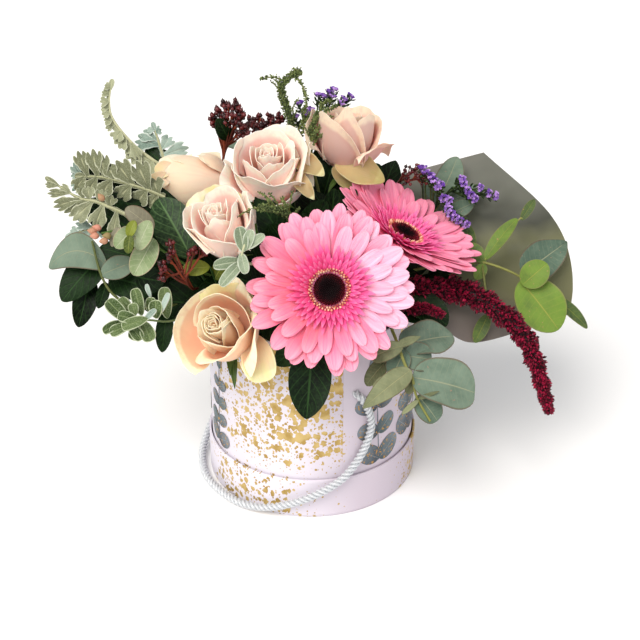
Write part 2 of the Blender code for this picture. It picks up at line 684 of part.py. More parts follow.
def make_eucalyptus():
    leafy_stem("eucalyptus_low", "blue_leaf", (30, -40),
               [seen(44, 2, 60), seen(49, -8, 73), seen(54, -22, 83), seen(60, -38, 86), seen(64, -53, 85),
                seen(73, -67, 82)],
               [(0.88, seen(104, -54, 76), 32, facing(-0.2, 0.5, 1)),
                (0.80, seen(29, -58, 97), 17, facing(0.2, 0.5, 1)),
                (0.64, seen(36, -20, 62), 18, facing(0.5, 0.4, 1)),
                (0.55, seen(92, -10, 58), 18, facing(0, 0.6, 1)),
                (0.72, seen(32, -40, 74), 12, facing(-0.3, 0.3, 1)),
                (1.0, seen(82, -74, 82), 17, OUT)], grow=0.5, close=0.5)
    leafy_stem("eucalyptus_right", "light_leaf", (53, 4),
               [Vector((68, 4, 156)), seen(88, 40, 4), seen(104, 40, 8), seen(118, 41, 14), seen(143, 31, 15),
                seen(150, 20, 14)],
               [(0.66, seen(103, 45, 3), 16, OUT),
                (0.60, seen(109, 66, -14), 12, OUT),
                (0.72, seen(141, 72, 8), 14, facing(-0.4, 0.2, 1)),
                (seen(139, 69.5, 8.6), seen(155, 88, 4), 7, OUT, {"cols": 1}),
                (0.95, seen(152, 45, 22), 22, OUT),
                (1.0, seen(163, -6, 18), 38, OUT),
                (0.85, seen(179, 58, -4), 25, facing(0.1, 0.2, 1)),
                (0.91, seen(194, -7, 0), 16, facing(0.5, 0.5, 1)),
                (seen(117, 9, 25.5), seen(110, -15, 29), 12, OUT)],
               twigs=[([seen(116, 41, 13), seen(117, 25, 22), seen(117, 7, 26)], 0.9)],
               grow=0.55, close=0.55)
    leafy_stem("eucalyptus_top_right", "blue_leaf", (40, 18),
               [Vector((60, 42, 164)), seen(84, 80, -27), seen(93, 98, -24)],
               [(1.0, seen(100, 127, -22), 22, OUT), (0.85, seen(80, 114, -22), 14, OUT),
                (0.92, seen(114, 104, -20), 12, OUT)])
    leafy_stem("eucalyptus_left", "blue_leaf", (-52, -14),
               [seen(-84, 14, 36), seen(-118, 8, 54), seen(-138, 15, 62), seen(-149, 30, 60), seen(-156, 54, 57)],
               [(0.95, seen(-190, 38, 50), 30, facing(0.2, 0.3, 1), {"sway": facing(0, 1, 0) * 6}),
                (0.84, seen(-126, 40, 56), 16, OUT)], grow=0.55, close=0.6)
    leafy_stem("laurel_far_left", "dark_leaf", (-55, 0),
               [Vector((-80, -4, 158)), seen(-112, 22, 40), seen(-134, 32, 44), seen(-146, 42, 44)],
               [(1.0, seen(-168, -6, 50), 30, facing(-0.2, 0.1, 1)), (0.60, seen(-112, 50, 44), 16, OUT),
                (0.80, seen(-106, 26, 60), 24, facing(0.1, -0.2, 1))], grow=0.5, close=0.6)
    leafy_stem("eucalyptus_back", "blue_leaf", (-8, 50),
               [Vector((-16, 76, 176)), Vector((-26, 100, 190)), Vector((-38, 122, 196))],
               [(0.56, Vector((-2, 112, 204)), 24, UP), (0.66, Vector((-52, 96, 210)), 24, UP),
                (0.78, Vector((-16, 144, 200)), 24, UP), (0.89, Vector((-68, 126, 204)), 22, UP),
                (1.0, Vector((-52, 150, 192)), 20, UP)], grow=0.5, close=0.5)


def make_silver_leaves():
    leafy_stem("dusty_miller_left", "silver_leaf", (-52, 4),
               [seen(-70, 40, 24), seen(-92, 58, 38), seen(-112, 64, 46)],
               [(0.80, seen(-170, 104, 34), 36, facing(0, 0.1, 1)),
                (1.0, seen(-188, 94, 54), 26, facing(0.2, -0.2, 1)),
                (0.88, seen(-182, 58, 32), 20, OUT, {"lobes": 3})], make=lobed_blade)
    leafy_stem("dusty_miller_top", "silver_leaf", (-38, 26),
               [seen(-76, 78, -14), seen(-98, 98, -4)],
               [(1.0, seen(-150, 172, 6), 20, OUT, {"sway": facing(-0.7, -0.7, 0.2) * 11, "lobes": 6}),
                (0.90, seen(-119, 143, -4), 26, OUT, {"lobes": 3}),
                (0.70, seen(-92, 128, 0), 20, OUT, {"lobes": 3}),
                (0.80, seen(-178, 116, 2), 22, OUT, {"lobes": 3})], make=lobed_blade)
    leafy_stem("silver_sprig", "silver_leaf", (-14, -28),
               [seen(-28, 24, 56), seen(-40, 36, 86), seen(-50, 37, 104), seen(-48, 44, 112), seen(-41, 50, 113)],
               [(0.68, seen(-77, 34, 106), 9, OUT), (0.76, seen(-67, 18, 114), 10, OUT),
                (0.90, seen(-52, 62, 108), 10, OUT), (1.0, seen(-34, 58, 112), 9, OUT),
                (0.84, seen(-46, 27, 114), 9, OUT)], radius=1.1, cols=1)
    tuft = [(-104, 18, 68), (-113, -15, 74), (-118, 14, 80), (-124, -18, 86), (-132, 10, 82), (-142, -14, 84),
            (-148, -1, 82)]
    leafy_stem("silver_tuft", "silver_leaf", (-47, -20),
               [Vector((-66, -32, 153)), seen(-98, 0, 64), seen(-120, 0, 76)],
               [(0.70 + 0.05 * i, seen(*tip), 10, OUT) for i, tip in enumerate(tuft)],
               radius=1.2, cols=1)


def make_broad_leaves():
    leafy_stem("hypericum", "pale_leaf", (-44, -6),
               [seen(-84, 34, 44), seen(-112, 50, 64), seen(-124, 54, 74)],
               [(0.90, seen(-140, 48, 80), 14, OUT), (1.0, seen(-108, 62, 82), 15, OUT),
                (0.80, seen(-128, 28, 74), 19, facing(0.2, 0, 1)), (0.70, seen(-134, 78, 60), 14, OUT)],
               radius=1.2)
    leafy_stem("laurel_tall", "dark_leaf", (-42, -14),
               [seen(-74, 22, 44), seen(-88, 42, 54)],
               [(1.0, seen(-112, 84, 46), 30, facing(0.2, 0, 1))],
               grow=0.65, close=0.6)
    leafy_stem("laurel_front", "dark_leaf", (-6, -50),
               [Vector((-4, -62, 153)), Vector((0, -74, 151)), Vector((1, -81, 147))],
               [(1.0, seen(-9, -66, 83), 29, facing(0.1, 0.2, 1), {"arch": 0.02}),
                (0.85, seen(-30, -30, 76), 18, OUT)], grow=0.6, close=0.7)
    leafy_stem("olive_leaves", "light_leaf", (-34, -28),
               [seen(-67, 20, 44), seen(-75, 36, 62)],
               [(1.0, seen(-94, 34, 64), 11, OUT), (0.85, seen(-62, 42, 66), 12, OUT)], radius=1.2)


def make_berries():
    dome = [(-76, 139, 18), (-50, 141, 12), (-69, 141, 26), (-57, 147, 26), (-71, 150, 10), (-54, 155, 16),
            (-63, 157, 14)]
    berry_stem("viburnum_top", "berry", (-22, 28), [seen(-48, 90, -14), seen(-60, 112, 2), seen(-63, 132, 14)],
               [(0.64 + 0.06 * i, seen(*place)) for i, place in enumerate(dome)],
               leaves=[(0.56, seen(-78, 124, 26), 10, OUT)])
    cap = [(-46, 142, 0), (-32, 146, -6), (-42, 150, -6), (-37, 149, 4)]
    berry_stem("viburnum_back", "berry", (-10, 36), [seen(-36, 92, -22), seen(-38, 118, -14), seen(-38, 136, -6)],
               [(0.70 + 0.10 * i, seen(*place)) for i, place in enumerate(cap)])
    spread = [(-110, 27, 74), (-82, 38, 76), (-105, 36, 78), (-86, 46, 78), (-98, 50, 80), (-96, 40, 86)]
    berry_stem("viburnum_left", "berry", (-36, -22), [Vector((-74, -23, 157)), seen(-90, 28, 62), seen(-93, 39, 76)],
               [(0.70 + 0.06 * i, seen(*place)) for i, place in enumerate(spread)], radius=1.2)
    right = [(71, 101, 2), (57, 103, 0), (67, 108, 0), (62, 109, -4)]
    berry_stem("viburnum_right", "berry", (26, 26),
               [Vector((44, 58, 172)), Vector((60, 68, 192)), Vector((68, 62, 206))],
               [(0.76 + 0.08 * i, seen(*place)) for i, place in enumerate(right)], berry=2.8)


def make_small_flowers():
    statice("statice_top", (4, 42), [seen(-10, 116, -28), seen(0, 142, -16)],
            [(0.64, seen(-14, 140, 2)), (0.76, seen(-3, 152, -4)), (0.94, seen(7, 162, -4)),
             (1.0, seen(19, 160, -8)), (0.85, seen(14, 152, -8))])
    statice("statice_right", (44, 14), [Vector((68, 36, 162)), Vector((90, 62, 178)), Vector((104, 63, 196))],
            [(0.66, seen(74, 109, -4)), (0.73, seen(84, 101, -4)), (0.93, seen(98, 108, -4)),
             (1.0, seen(109, 99, 2)), (0.97, seen(120, 95, 0)), (0.79, seen(92, 88, 8)), (0.88, seen(104, 81, 10))])
    tassel("amaranth_long", "amaranth", (46, -18),
           [Vector((60, -22, 158)), Vector((74, -23, 158)), seen(86, 21, 34), seen(98, 21, 35), seen(112, 14, 42),
            seen(130, 1, 48), seen(143, -16, 54), seen(150, -36, 55), seen(154, -51, 54), seen(158, -63, 52)],
           0.20, lambda t: 11.0 * (1 - t)**0.55 * min(1, 0.55 + 1.6 * t) + 1.2)
    tassel("amaranth_short", "amaranth", (40, -30),
           [Vector((54, -36, 158)), seen(64, 6, 50), seen(76, 4, 54), seen(88, -2, 56)],
           0.55, lambda t: 4.6 * (1 - 0.7 * t), 4.0, 5)
    tassel("filler_top", "moss_green", (-2, 20),
           [seen(-20, 100, -6), seen(-25, 128, 4), seen(-24, 150, 2), seen(-28, 166, -2), seen(-24, 178, -4),
            seen(-12, 178, 0), seen(-9, 164, 4), seen(-12, 150, 8)],
           0.40, lambda t: 2.6 * (1 - 0.5 * t), 4.8, 4, 0.35)
    tassel("filler_side", "moss_green", (4, 8),
           [seen(2, 72, 8), seen(2, 104, 18), seen(-3, 130, 25), seen(-1, 147, 24)],
           0.55, lambda t: 2.6 * (1 - 0.4 * t), 4.8, 4, 0.35)
    tassel("filler_middle", "moss_green", (-4, -12),
           [seen(-14, 44, 44), seen(-17, 64, 70), seen(-25, 72, 88), seen(-40, 74, 95)],
           0.50, lambda t: 2.8 * (1 - 0.4 * t), 4.8, 4, 0.35)


def make_filler():
    """Dark leaves low among the stems, all round, which hide the foam and the rim."""
    leafy_stem("laurel_middle", "dark_leaf", (14, 6), [Vector((14, 8, 168)), Vector((12, 12, 186))],
               [(0.85, Vector((26, 32, 198)), 20, UP), (0.93, Vector((-6, 2, 202)), 18, UP),
                (1.0, Vector((2, 28, 208)), 18, UP)])
    leafy_stem("laurel_right", "dark_leaf", (54, -8), [Vector((66, 0, 150)), Vector((84, 10, 149))],
               [(0.75, Vector((88, 38, 155)), 18, UP), (0.85, Vector((104, 0, 149)), 14, UP),
                (1.0, Vector((112, 22, 150)), 18, UP)])
    leaf_fan("laurel_back_right", "dark_leaf", (32, 36), [Vector((42, 58, 160)), Vector((52, 74, 178))],
             3, 34, 24, 0.9)
    leaf_fan("laurel_back", "dark_leaf", (12, 48), [Vector((14, 74, 156)), Vector((14, 94, 156))],
             3, 40, 26, 0.9)
    leaf_fan("laurel_back_left", "dark_leaf", (-28, 44), [Vector((-42, 66, 158)), Vector((-58, 86, 162))],
             3, 40, 26, 0.9)
    leaf_fan("laurel_left", "dark_leaf", (-54, 10), [Vector((-78, 20, 154)), Vector((-98, 28, 158))],
             3, 36, 24, 0.9)


draw = random.Random(7)
clear_scene()
part = new_collection("flower_hat_box")
tools = new_collection("cutters")
make_box()
make_lid()
make_liner()
make_handle()
make_blooms()
make_eucalyptus()
make_silver_leaves()
make_broad_leaves()
make_berries()
make_small_flowers()
make_filler()
make_film()
make_foam()
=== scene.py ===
"""The looks of a flower hat box: card and print, twisted rope, frosted wrap, and petals, leaves, berries
and florets as fine meshes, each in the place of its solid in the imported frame.

Lengths are in millimetres until a mesh is made. The box stands on its lid at the origin, +Z is up, and
the arrangement faces -Y. A place given as a plain (right, up, near) lies in the view that the plants
face, and so does a direction. A place given as a Vector is measured from the origin.
"""

import math
import random

import bpy
import numpy as np
from mathutils import Matrix, Vector


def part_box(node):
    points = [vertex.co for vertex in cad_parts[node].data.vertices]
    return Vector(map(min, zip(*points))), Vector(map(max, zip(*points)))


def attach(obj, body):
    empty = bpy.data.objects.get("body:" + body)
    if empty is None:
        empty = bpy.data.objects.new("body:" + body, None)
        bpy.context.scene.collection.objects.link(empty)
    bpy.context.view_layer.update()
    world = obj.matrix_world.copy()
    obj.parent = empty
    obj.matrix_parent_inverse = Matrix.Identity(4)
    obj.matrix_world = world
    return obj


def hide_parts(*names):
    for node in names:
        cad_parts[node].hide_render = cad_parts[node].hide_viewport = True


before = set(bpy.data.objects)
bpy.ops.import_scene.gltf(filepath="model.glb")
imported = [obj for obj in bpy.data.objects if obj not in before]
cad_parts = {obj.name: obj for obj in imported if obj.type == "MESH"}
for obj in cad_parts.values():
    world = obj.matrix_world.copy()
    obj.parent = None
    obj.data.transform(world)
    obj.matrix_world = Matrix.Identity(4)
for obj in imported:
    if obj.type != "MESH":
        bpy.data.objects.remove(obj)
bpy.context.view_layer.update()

MM = 0.001
GAP = 0.3                       # between pieces that rest on or in each other

# Box, lid, rope and foam, from the frame and as the solids have them
BOX_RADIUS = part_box("box_wall")[1].x / MM
BOX_BASE, BOX_TOP = (corner.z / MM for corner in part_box("box_wall"))
LID_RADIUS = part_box("lid_band")[1].x / MM
LID_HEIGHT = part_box("lid_band")[1].z / MM
CARD = 1.5
ROUND_STEPS = 180
LAP_TURN = 17.0                 # degrees from the front to the edge where the wall's paper laps itself
LAP = 0.35                      # thickness of the paper's lap
LID_LAP_TURN = 118.0
CORD_DIAMETER = 6.0
CORD_HOLE_HEIGHT = 100.0
CORD_HOLE_ANGLE = 24.0          # degrees from the front, towards +X
KNOT_RADIUS = 6.0
KNOT_CENTRE = 66.9              # from the box's axis
ROPE_STRANDS = 3
ROPE_PITCH = 11.0               # length of one turn of a strand
ROPE_STEP = 0.8                 # from one ring of its mesh to the next
ROPE_SIDES = 36
ROPE_WAIST = 0.42               # its least radius between two strands, as a share
FOAM_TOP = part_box("foam")[1].z / MM
STEM_FOCUS = 20.0               # height on the axis that every stem points at
STEM_DEPTH = 34.0
STEM_RISE = 4.0                 # straight length above the foam
ROUTE_STEPS = 5                 # points from one place of a stem to the next

# The view that the arrangement faces
VIEW_TILT = math.radians(29.5)
VIEW_MIDDLE = Vector((6.0, 0.0, 119.0))
VIEW_DISTANCE = 1000.0
VIEW_LENS = 77.5
WORLD_STRENGTH = 0.58
FLOOR_REACH = 6.0               # in metres

ZERO = Vector((0, 0, 0))
UP = Vector((0, 0, 1))
GOLDEN_TURN = math.pi * (3 - math.sqrt(5))


# Places and directions

def seen(right, up, near):
    """A point from its place in the view: right, up and towards the viewer from the view's middle."""
    return Vector((
        VIEW_MIDDLE.x + right,
        math.sin(VIEW_TILT) * up - math.cos(VIEW_TILT) * near,
        VIEW_MIDDLE.z + math.cos(VIEW_TILT) * up + math.sin(VIEW_TILT) * near,
    ))


def facing(right, up, near):
    """A direction in the view, as a unit vector."""
    return (seen(right, up, near) - VIEW_MIDDLE).normalized()


OUT = facing(0, 0.2, 1)         # towards the viewer, tilted up a little


def at(place):
    """A place in the view as a point. A Vector stays as it is."""
    return place if isinstance(place, Vector) else seen(*place)


def towards(way):
    """A direction in the view as a unit vector. A Vector stays as it is."""
    return way if isinstance(way, Vector) else facing(*way)


def held(value):
    """A value, kept from 0 to 1."""
    return min(1.0, max(0.0, value))


def scattered(draw, reach=1.0):
    """A random offset, by up to reach each way."""
    return Vector([draw.uniform(-reach, reach) for _ in range(3)])


def aside(ahead, turn, hint=Vector((0.3, 1, 0.2))):
    """The direction square to ahead that a turn about it leads to."""
    side = ahead.cross(hint).normalized()
    return side * math.cos(turn) + ahead.cross(side) * math.sin(turn)


def around(angle, radius, height):
    """A point by its angle from the front, towards +X, and its distance from the box's axis."""
    turn = math.radians(angle)
    return Vector((radius * math.sin(turn), -radius * math.cos(turn), height))


def frame_at(place, axis, spin=0.0):
    """A matrix whose +Z is axis, turned by spin degrees about it."""
    turn = axis.normalized().to_track_quat("Z", "Y").to_matrix().to_4x4()
    return Matrix.Translation(place) @ turn @ Matrix.Rotation(math.radians(spin), 4, "Z")


def put(matrix, points):
    """An array of points, moved by a matrix."""
    turn = np.array(matrix)
    return points @ turn[:3, :3].T + turn[:3, 3]


def smooth_route(points, steps):
    """Points on a smooth curve through the given places, steps to a span."""
    points = [at(place) for place in points]
    ends = [2 * points[0] - points[1], *points, 2 * points[-1] - points[-2]]
    route = []
    for a, b, c, d in zip(ends, ends[1:], ends[2:], ends[3:]):
        for i in range(steps):
            t = i / steps
            route.append(0.5 * (2 * b + (c - a) * t + (2 * a - 5 * b + 4 * c - d) * t**2
                                + (3 * b - a - 3 * c + d) * t**3))
    return [*route, points[-1]]


def stem_route(foot, places):
    """A stem's line: straight in its hole in the foam, which is at foot, then smooth through places."""
    entry = Vector((*foot, FOAM_TOP))
    rising = (entry - Vector((0, 0, STEM_FOCUS))).normalized()
    low, high = entry - rising * STEM_DEPTH, entry + rising * STEM_RISE
    straight = [low.lerp(high, i / ROUTE_STEPS) for i in range(ROUTE_STEPS)]
    return straight + smooth_route([high, *places], ROUTE_STEPS)


def on_route(route, share):
    """The point at a share of the way along a route's points."""
    place = held(share) * (len(route) - 1)
    i = min(int(place), len(route) - 2)
    return route[i].lerp(route[i + 1], place - i)


def heading(route, share, step):
    """The way that a route goes at a share of it, from a step before to a step after."""
    return (on_route(route, share + step) - on_route(route, share - step)).normalized()


def distances(route):
    """How far along a route each of its points lies."""
    far = [0.0]
    for a, b in zip(route, route[1:]):
        far.append(far[-1] + (b - a).length)
    return far


# Meshes

def unit(vectors):
    return vectors / np.maximum(np.linalg.norm(vectors, axis=-1, keepdims=True), 1e-9)


def quads_of(index):
    """The faces between the rows and columns of a grid of point numbers."""
    corners = (index[:-1, :-1], index[:-1, 1:], index[1:, 1:], index[1:, :-1])
    return np.stack([corner.ravel() for corner in corners], axis=1)


class Shape:
    """Surfaces gathered into one mesh. A mark says where a point lies on its petal, leaf or stem: along
    it from 0 to 1, across it from -1 to 1, and the tint that the petal, leaf or stem has."""

    def __init__(self, seed):
        self.draw = random.Random(seed)
        self.points, self.marks, self.under, self.faces, self.looks = [], [], [], [], []
        self.total = 0

    def add(self, points, marks, faces, look, under=None):
        points = np.asarray(points, float).reshape(-1, 3)
        self.points.append(points)
        self.marks.append(np.broadcast_to(marks, points.shape))
        self.under.append(np.zeros(len(points)) if under is None else under)
        for group in faces:
            self.faces += (np.asarray(group) + self.total).tolist()
            self.looks += [look] * len(group)
        self.total += len(points)

    def marks_of(self, rows, cols, along, across, tint):
        """The marks of a grid of points. A tint that isn't given is drawn."""
        mark = np.empty((rows, cols, 3))
        mark[..., 0] = np.linspace(0, 1, rows)[:, None] if along is None else along
        mark[..., 1] = across
        mark[..., 2] = self.draw.random() if tint is None else tint
        return mark.reshape(-1, 3)

    def sheet(self, places, thick, tint=None, look=0, along=None, across=None):
        """A thin closed shell whose middle surface is places, rows along it by columns across it."""
        rows, cols = places.shape[:2]
        normal = unit(np.cross(np.gradient(places, axis=1), np.gradient(places, axis=0)))
        over, below = places + normal * thick / 2, places - normal * thick / 2
        count = rows * cols
        index = np.arange(count).reshape(rows, cols)
        top = quads_of(index)
        loop = np.concatenate([index[0, :-1], index[:-1, -1], index[-1, :0:-1], index[:0:-1, 0]])
        ahead = np.roll(loop, -1)
        edge = np.stack([ahead, loop, loop + count, ahead + count], axis=1)
        mark = self.marks_of(rows, cols, along, np.linspace(-1, 1, cols) if across is None else across, tint)
        self.add(np.concatenate([over.reshape(-1, 3), below.reshape(-1, 3)]), np.concatenate([mark, mark]),
                 [top, top[:, ::-1] + count, edge], look, np.repeat([0.0, 1.0], count))

    def tube(self, route, radii, sides, tint=None, look=0, section=None):
        """A closed round stem along a route. A section gives each ring's radii as shares, by angle."""
        line = np.array([tuple(p) for p in route])
        count = len(line)
        ahead = unit(np.gradient(line, axis=0))
        radii = np.interp(np.linspace(0, 1, count), np.linspace(0, 1, len(radii)), radii)
        side = np.cross(ahead[0], (0.31, 0.87, 0.39))
        rings = []
        turns = np.linspace(0, 2 * math.pi, sides, endpoint=False)
        for i in range(count):
            side = unit(side - ahead[i] * (side @ ahead[i]))
            other = np.cross(ahead[i], side)
            share = 1 if section is None else section(i, turns)
            wide = (radii[i] * share * np.ones(sides))[:, None]
            rings.append(line[i] + wide * (np.cos(turns)[:, None] * side + np.sin(turns)[:, None] * other))
        index = np.arange(count * sides).reshape(count, sides)
        wall = quads_of(np.concatenate([index, index[:, :1]], axis=1))
        mark = self.marks_of(count, sides, None, np.abs(np.linspace(-1, 1, sides, endpoint=False)), tint)
        self.add(np.concatenate(rings), mark, [wall, [index[0, ::-1]], [index[-1]]], look)

    def turned(self, place, profile, sides, tint=None, look=0, ripple=None, ring=False, seam=0.0):
        """A turned body. The profile is (radius, height) pairs up its outer side, and a ring's profile
        is a loop. A seam is how far the surface steps in where it meets itself."""
        profile = np.array(profile, float)
        count = len(profile)
        spread = np.linspace(0, 2 * math.pi, sides + 1)[:sides + (1 if seam else 0)]
        cols = len(spread)
        radii = profile[:, :1] * (np.ones(cols) if ripple is None else ripple(spread))
        if seam:
            radii = radii + seam * (1 - spread / (2 * math.pi)) ** 6 * (profile[:, :1] > 0)
        heights = profile[:, 1:] * np.ones(cols)
        points = np.stack([radii * np.cos(spread), radii * np.sin(spread), heights], axis=2)
        index = np.arange(count * cols).reshape(count, cols)
        loops = np.concatenate([index, index[:, :1]], axis=1)
        if ring:
            loops = np.concatenate([loops, loops[:1]])
        caps = [] if ring else [[index[0, ::-1]], [index[-1]]]
        mark = self.marks_of(count, cols, None, np.cos(spread), tint)
        self.add(put(place, points.reshape(-1, 3)), mark, [quads_of(loops), *caps], look)

    def copies(self, pattern, spots, look=0):
        """One small shape, set down with its +Z along an axis at each spot. A spot is (place, axis, size,
        tint), and the tints are drawn if the spots leave them out."""
        places, axes, sizes, *tints = zip(*spots)
        tints = tints[0] if tints else [self.draw.random() for _ in places]
        base = np.concatenate(pattern.points)
        marks = np.concatenate(pattern.marks)
        axes = unit(np.asarray(axes, float))
        first = unit(np.cross(axes, (0.43, 0.21, 0.88)))
        spins = np.array([self.draw.uniform(0, 6.28) for _ in places])[:, None]
        side = np.cos(spins) * first + np.sin(spins) * np.cross(axes, first)
        turns = np.stack([side, np.cross(axes, side), axes], axis=2) * np.asarray(sizes, float)[:, None, None]
        points = np.einsum("nij,pj->npi", turns, base) + np.asarray(places, float)[:, None, :]
        for each, tint in zip(points, tints):
            mark = marks.copy()
            mark[:, 2] = tint
            self.add(each, mark, [np.array([face]) for face in pattern.faces], look)


def made(shape, node, paints, sharp=50):
    """The finished piece: it rides with the box, and stands for its node of the frame."""
    mesh = bpy.data.meshes.new(node + "_fine")
    points = np.concatenate(shape.points) * MM
    mesh.from_pydata(points.tolist(), [], shape.faces)
    mark = mesh.attributes.new("mark", "FLOAT_VECTOR", "POINT")
    mark.data.foreach_set("vector", np.concatenate(shape.marks).astype(np.float32).ravel())
    under = mesh.attributes.new("under", "FLOAT", "POINT")
    under.data.foreach_set("value", np.concatenate(shape.under).astype(np.float32))
    for paint in paints:
        mesh.materials.append(paint)
    mesh.polygons.foreach_set("material_index", shape.looks)
    mesh.shade_smooth()
    mesh.set_sharp_from_angle(angle=math.radians(sharp))
    obj = bpy.data.objects.new(node + "_fine", mesh)
    bpy.context.scene.collection.objects.link(obj)
    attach(obj, "root")
    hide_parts(node)
    return obj


# Materials

def rgb(code):
    """A colour from its #rrggbb code, as the linear values that a shader takes."""
    values = [int(code[i:i + 2], 16) / 255 for i in (1, 3, 5)]
    return (*((v / 12.92 if v <= 0.04045 else ((v + 0.055) / 1.055)**2.4) for v in values), 1.0)


class Paint:
    """A material's nodes. Each method adds one and returns its output."""

    def __init__(self, name):
        self.material = bpy.data.materials.new(name)
        self.material.use_nodes = True
        self.tree = self.material.node_tree
        self.shader = next(n for n in self.tree.nodes if n.type == "BSDF_PRINCIPLED")
        self.place = self.node("TexCoord").outputs["Object"]
        mark = self.node("Attribute", attribute_name="mark").outputs["Vector"]
        self.along, self.across, self.tint = self.node("SeparateXYZ", {0: mark}).outputs
        self.off_rib = self.maths("ABSOLUTE", self.across)
        self.under = self.node("Attribute", attribute_name="under").outputs["Fac"]

    def node(self, kind, inputs=None, **settings):
        made_node = self.tree.nodes.new("ShaderNode" + kind)
        for key, value in settings.items():
            setattr(made_node, key, value)
        for key, value in (inputs or {}).items():
            self.feed(made_node.inputs[key], value)
        return made_node

    def feed(self, socket, value):
        if isinstance(value, bpy.types.NodeSocket):
            self.tree.links.new(value, socket)
        elif isinstance(value, str):
            socket.default_value = rgb(value)
        else:
            socket.default_value = value

    def maths(self, operation, *terms):
        return self.node("Math", dict(enumerate(terms)), operation=operation).outputs[0]

    def times(self, a, b):
        return self.maths("MULTIPLY", a, b)

    def plus(self, a, b):
        return self.maths("ADD", a, b)

    def minus(self, a, b):
        return self.maths("SUBTRACT", a, b)

    def most(self, a, b):
        return self.maths("MAXIMUM", a, b)

    def joined(self, x, y, z):
        return self.node("CombineXYZ", {0: x, 1: y, 2: z}).outputs[0]

    def between(self, value, low, high, to_low=0.0, to_high=1.0):
        """A smooth step of a value from low to high."""
        return self.node("MapRange", {"Value": value, 1: low, 2: high, 3: to_low, 4: to_high},
                         interpolation_type="SMOOTHSTEP").outputs[0]

    def varied(self, cloud, low, high):
        """A roughness that wavers from low to high with a noise."""
        return self.between(cloud, 0.3, 0.7, low, high)

    def mixed(self, factor, a, b):
        return self.node("Mix", {0: factor, 6: a, 7: b}, data_type="RGBA").outputs[2]

    def ramp(self, factor, *stops):
        node = self.node("ValToRGB", {0: factor})
        elements = node.color_ramp.elements
        while len(elements) < len(stops):
            elements.new(0.5)
        for element, (place, code) in zip(elements, stops):
            element.position = place
            element.color = rgb(code)
        return node.outputs[0]

    def noise(self, size, detail=3):
        """Cloudy noise whose features are about size millimetres across."""
        return self.node("TexNoise", {"Vector": self.place, "Scale": 1 / (size * MM), "Detail": detail,
                                      "Roughness": 0.55, "Distortion": 0.0}).outputs[0]

    def streaks(self, across, along=1.5):
        """Noise in lines that run along a petal or leaf, other ones on each."""
        vector = self.joined(self.times(self.along, along), self.times(self.across, across),
                             self.times(self.tint, 57.0))
        return self.node("TexNoise", {"Vector": vector, "Scale": 1.0, "Detail": 2.0}).outputs[0]

    def veins(self, count, slant):
        """Side veins that leave the rib at a slant, as thin lines."""
        phase = self.minus(self.times(self.along, count), self.times(self.off_rib, slant))
        return self.between(self.maths("PINGPONG", phase, 0.5), 0.12, 0.0)

    def relief(self, height, strength, distance):
        inputs = {"Height": height, "Strength": strength, "Distance": distance * MM}
        return self.node("Bump", inputs).outputs[0]

    def done(self, colour, roughness, normal=None, **sockets):
        self.feed(self.shader.inputs["Base Color"], colour)
        self.feed(self.shader.inputs["Roughness"], roughness)
        if normal is not None:
            self.feed(self.shader.inputs["Normal"], normal)
        for key, value in sockets.items():
            self.feed(self.shader.inputs[key.replace("_", " ")], value)
        return self.material


def ray_paint(name, root, body, cool, warm, tip):
    """A gerbera's ray: coloured by its tint, which is painted light and shade set by the ray's side of the
    flower, cool and pale on the lit upper right and warm and deep on the shaded lower left. It has fine ribs
    and painted shade along its folds, and is deep at its root and pale at its tip.
    """
    p = Paint(name)
    lines = p.streaks(6.0)
    # Painted shade: darker lines along the ray's folds, as in the shade of their creases.
    fold = p.between(p.maths("PINGPONG", p.plus(p.off_rib, 0.17), 0.34), 0.05, 0.3)
    # Painted light and shade: the tint, set by the ray's side of the flower, gives the lit upper right the
    # cool pale colour and the shaded lower left the warm deep one.
    side_light_shade = p.mixed(p.between(p.tint, 0.5, 0.95), p.mixed(p.between(p.tint, 0.05, 0.5), cool, body), warm)
    rooted = p.mixed(p.between(p.along, 0.05, 0.42), root, side_light_shade)
    tipped = p.mixed(p.between(p.along, 0.6, 1.0, 0, 0.6), rooted, tip)
    fold_shaded = p.mixed(p.times(fold, 0.22), tipped, root)
    lined = p.mixed(p.between(lines, 0.5, 0.75, 0, 0.42), fold_shaded, root)
    backed = p.mixed(p.times(p.under, 0.35), lined, warm)
    return p.done(backed, p.varied(lines, 0.5, 0.65), p.relief(lines, 0.6, 0.6),
                  Subsurface_Weight=0.15, Subsurface_Radius=(1.0, 0.3, 0.4), Subsurface_Scale=0.0012,
                  Specular_IOR_Level=0.22)


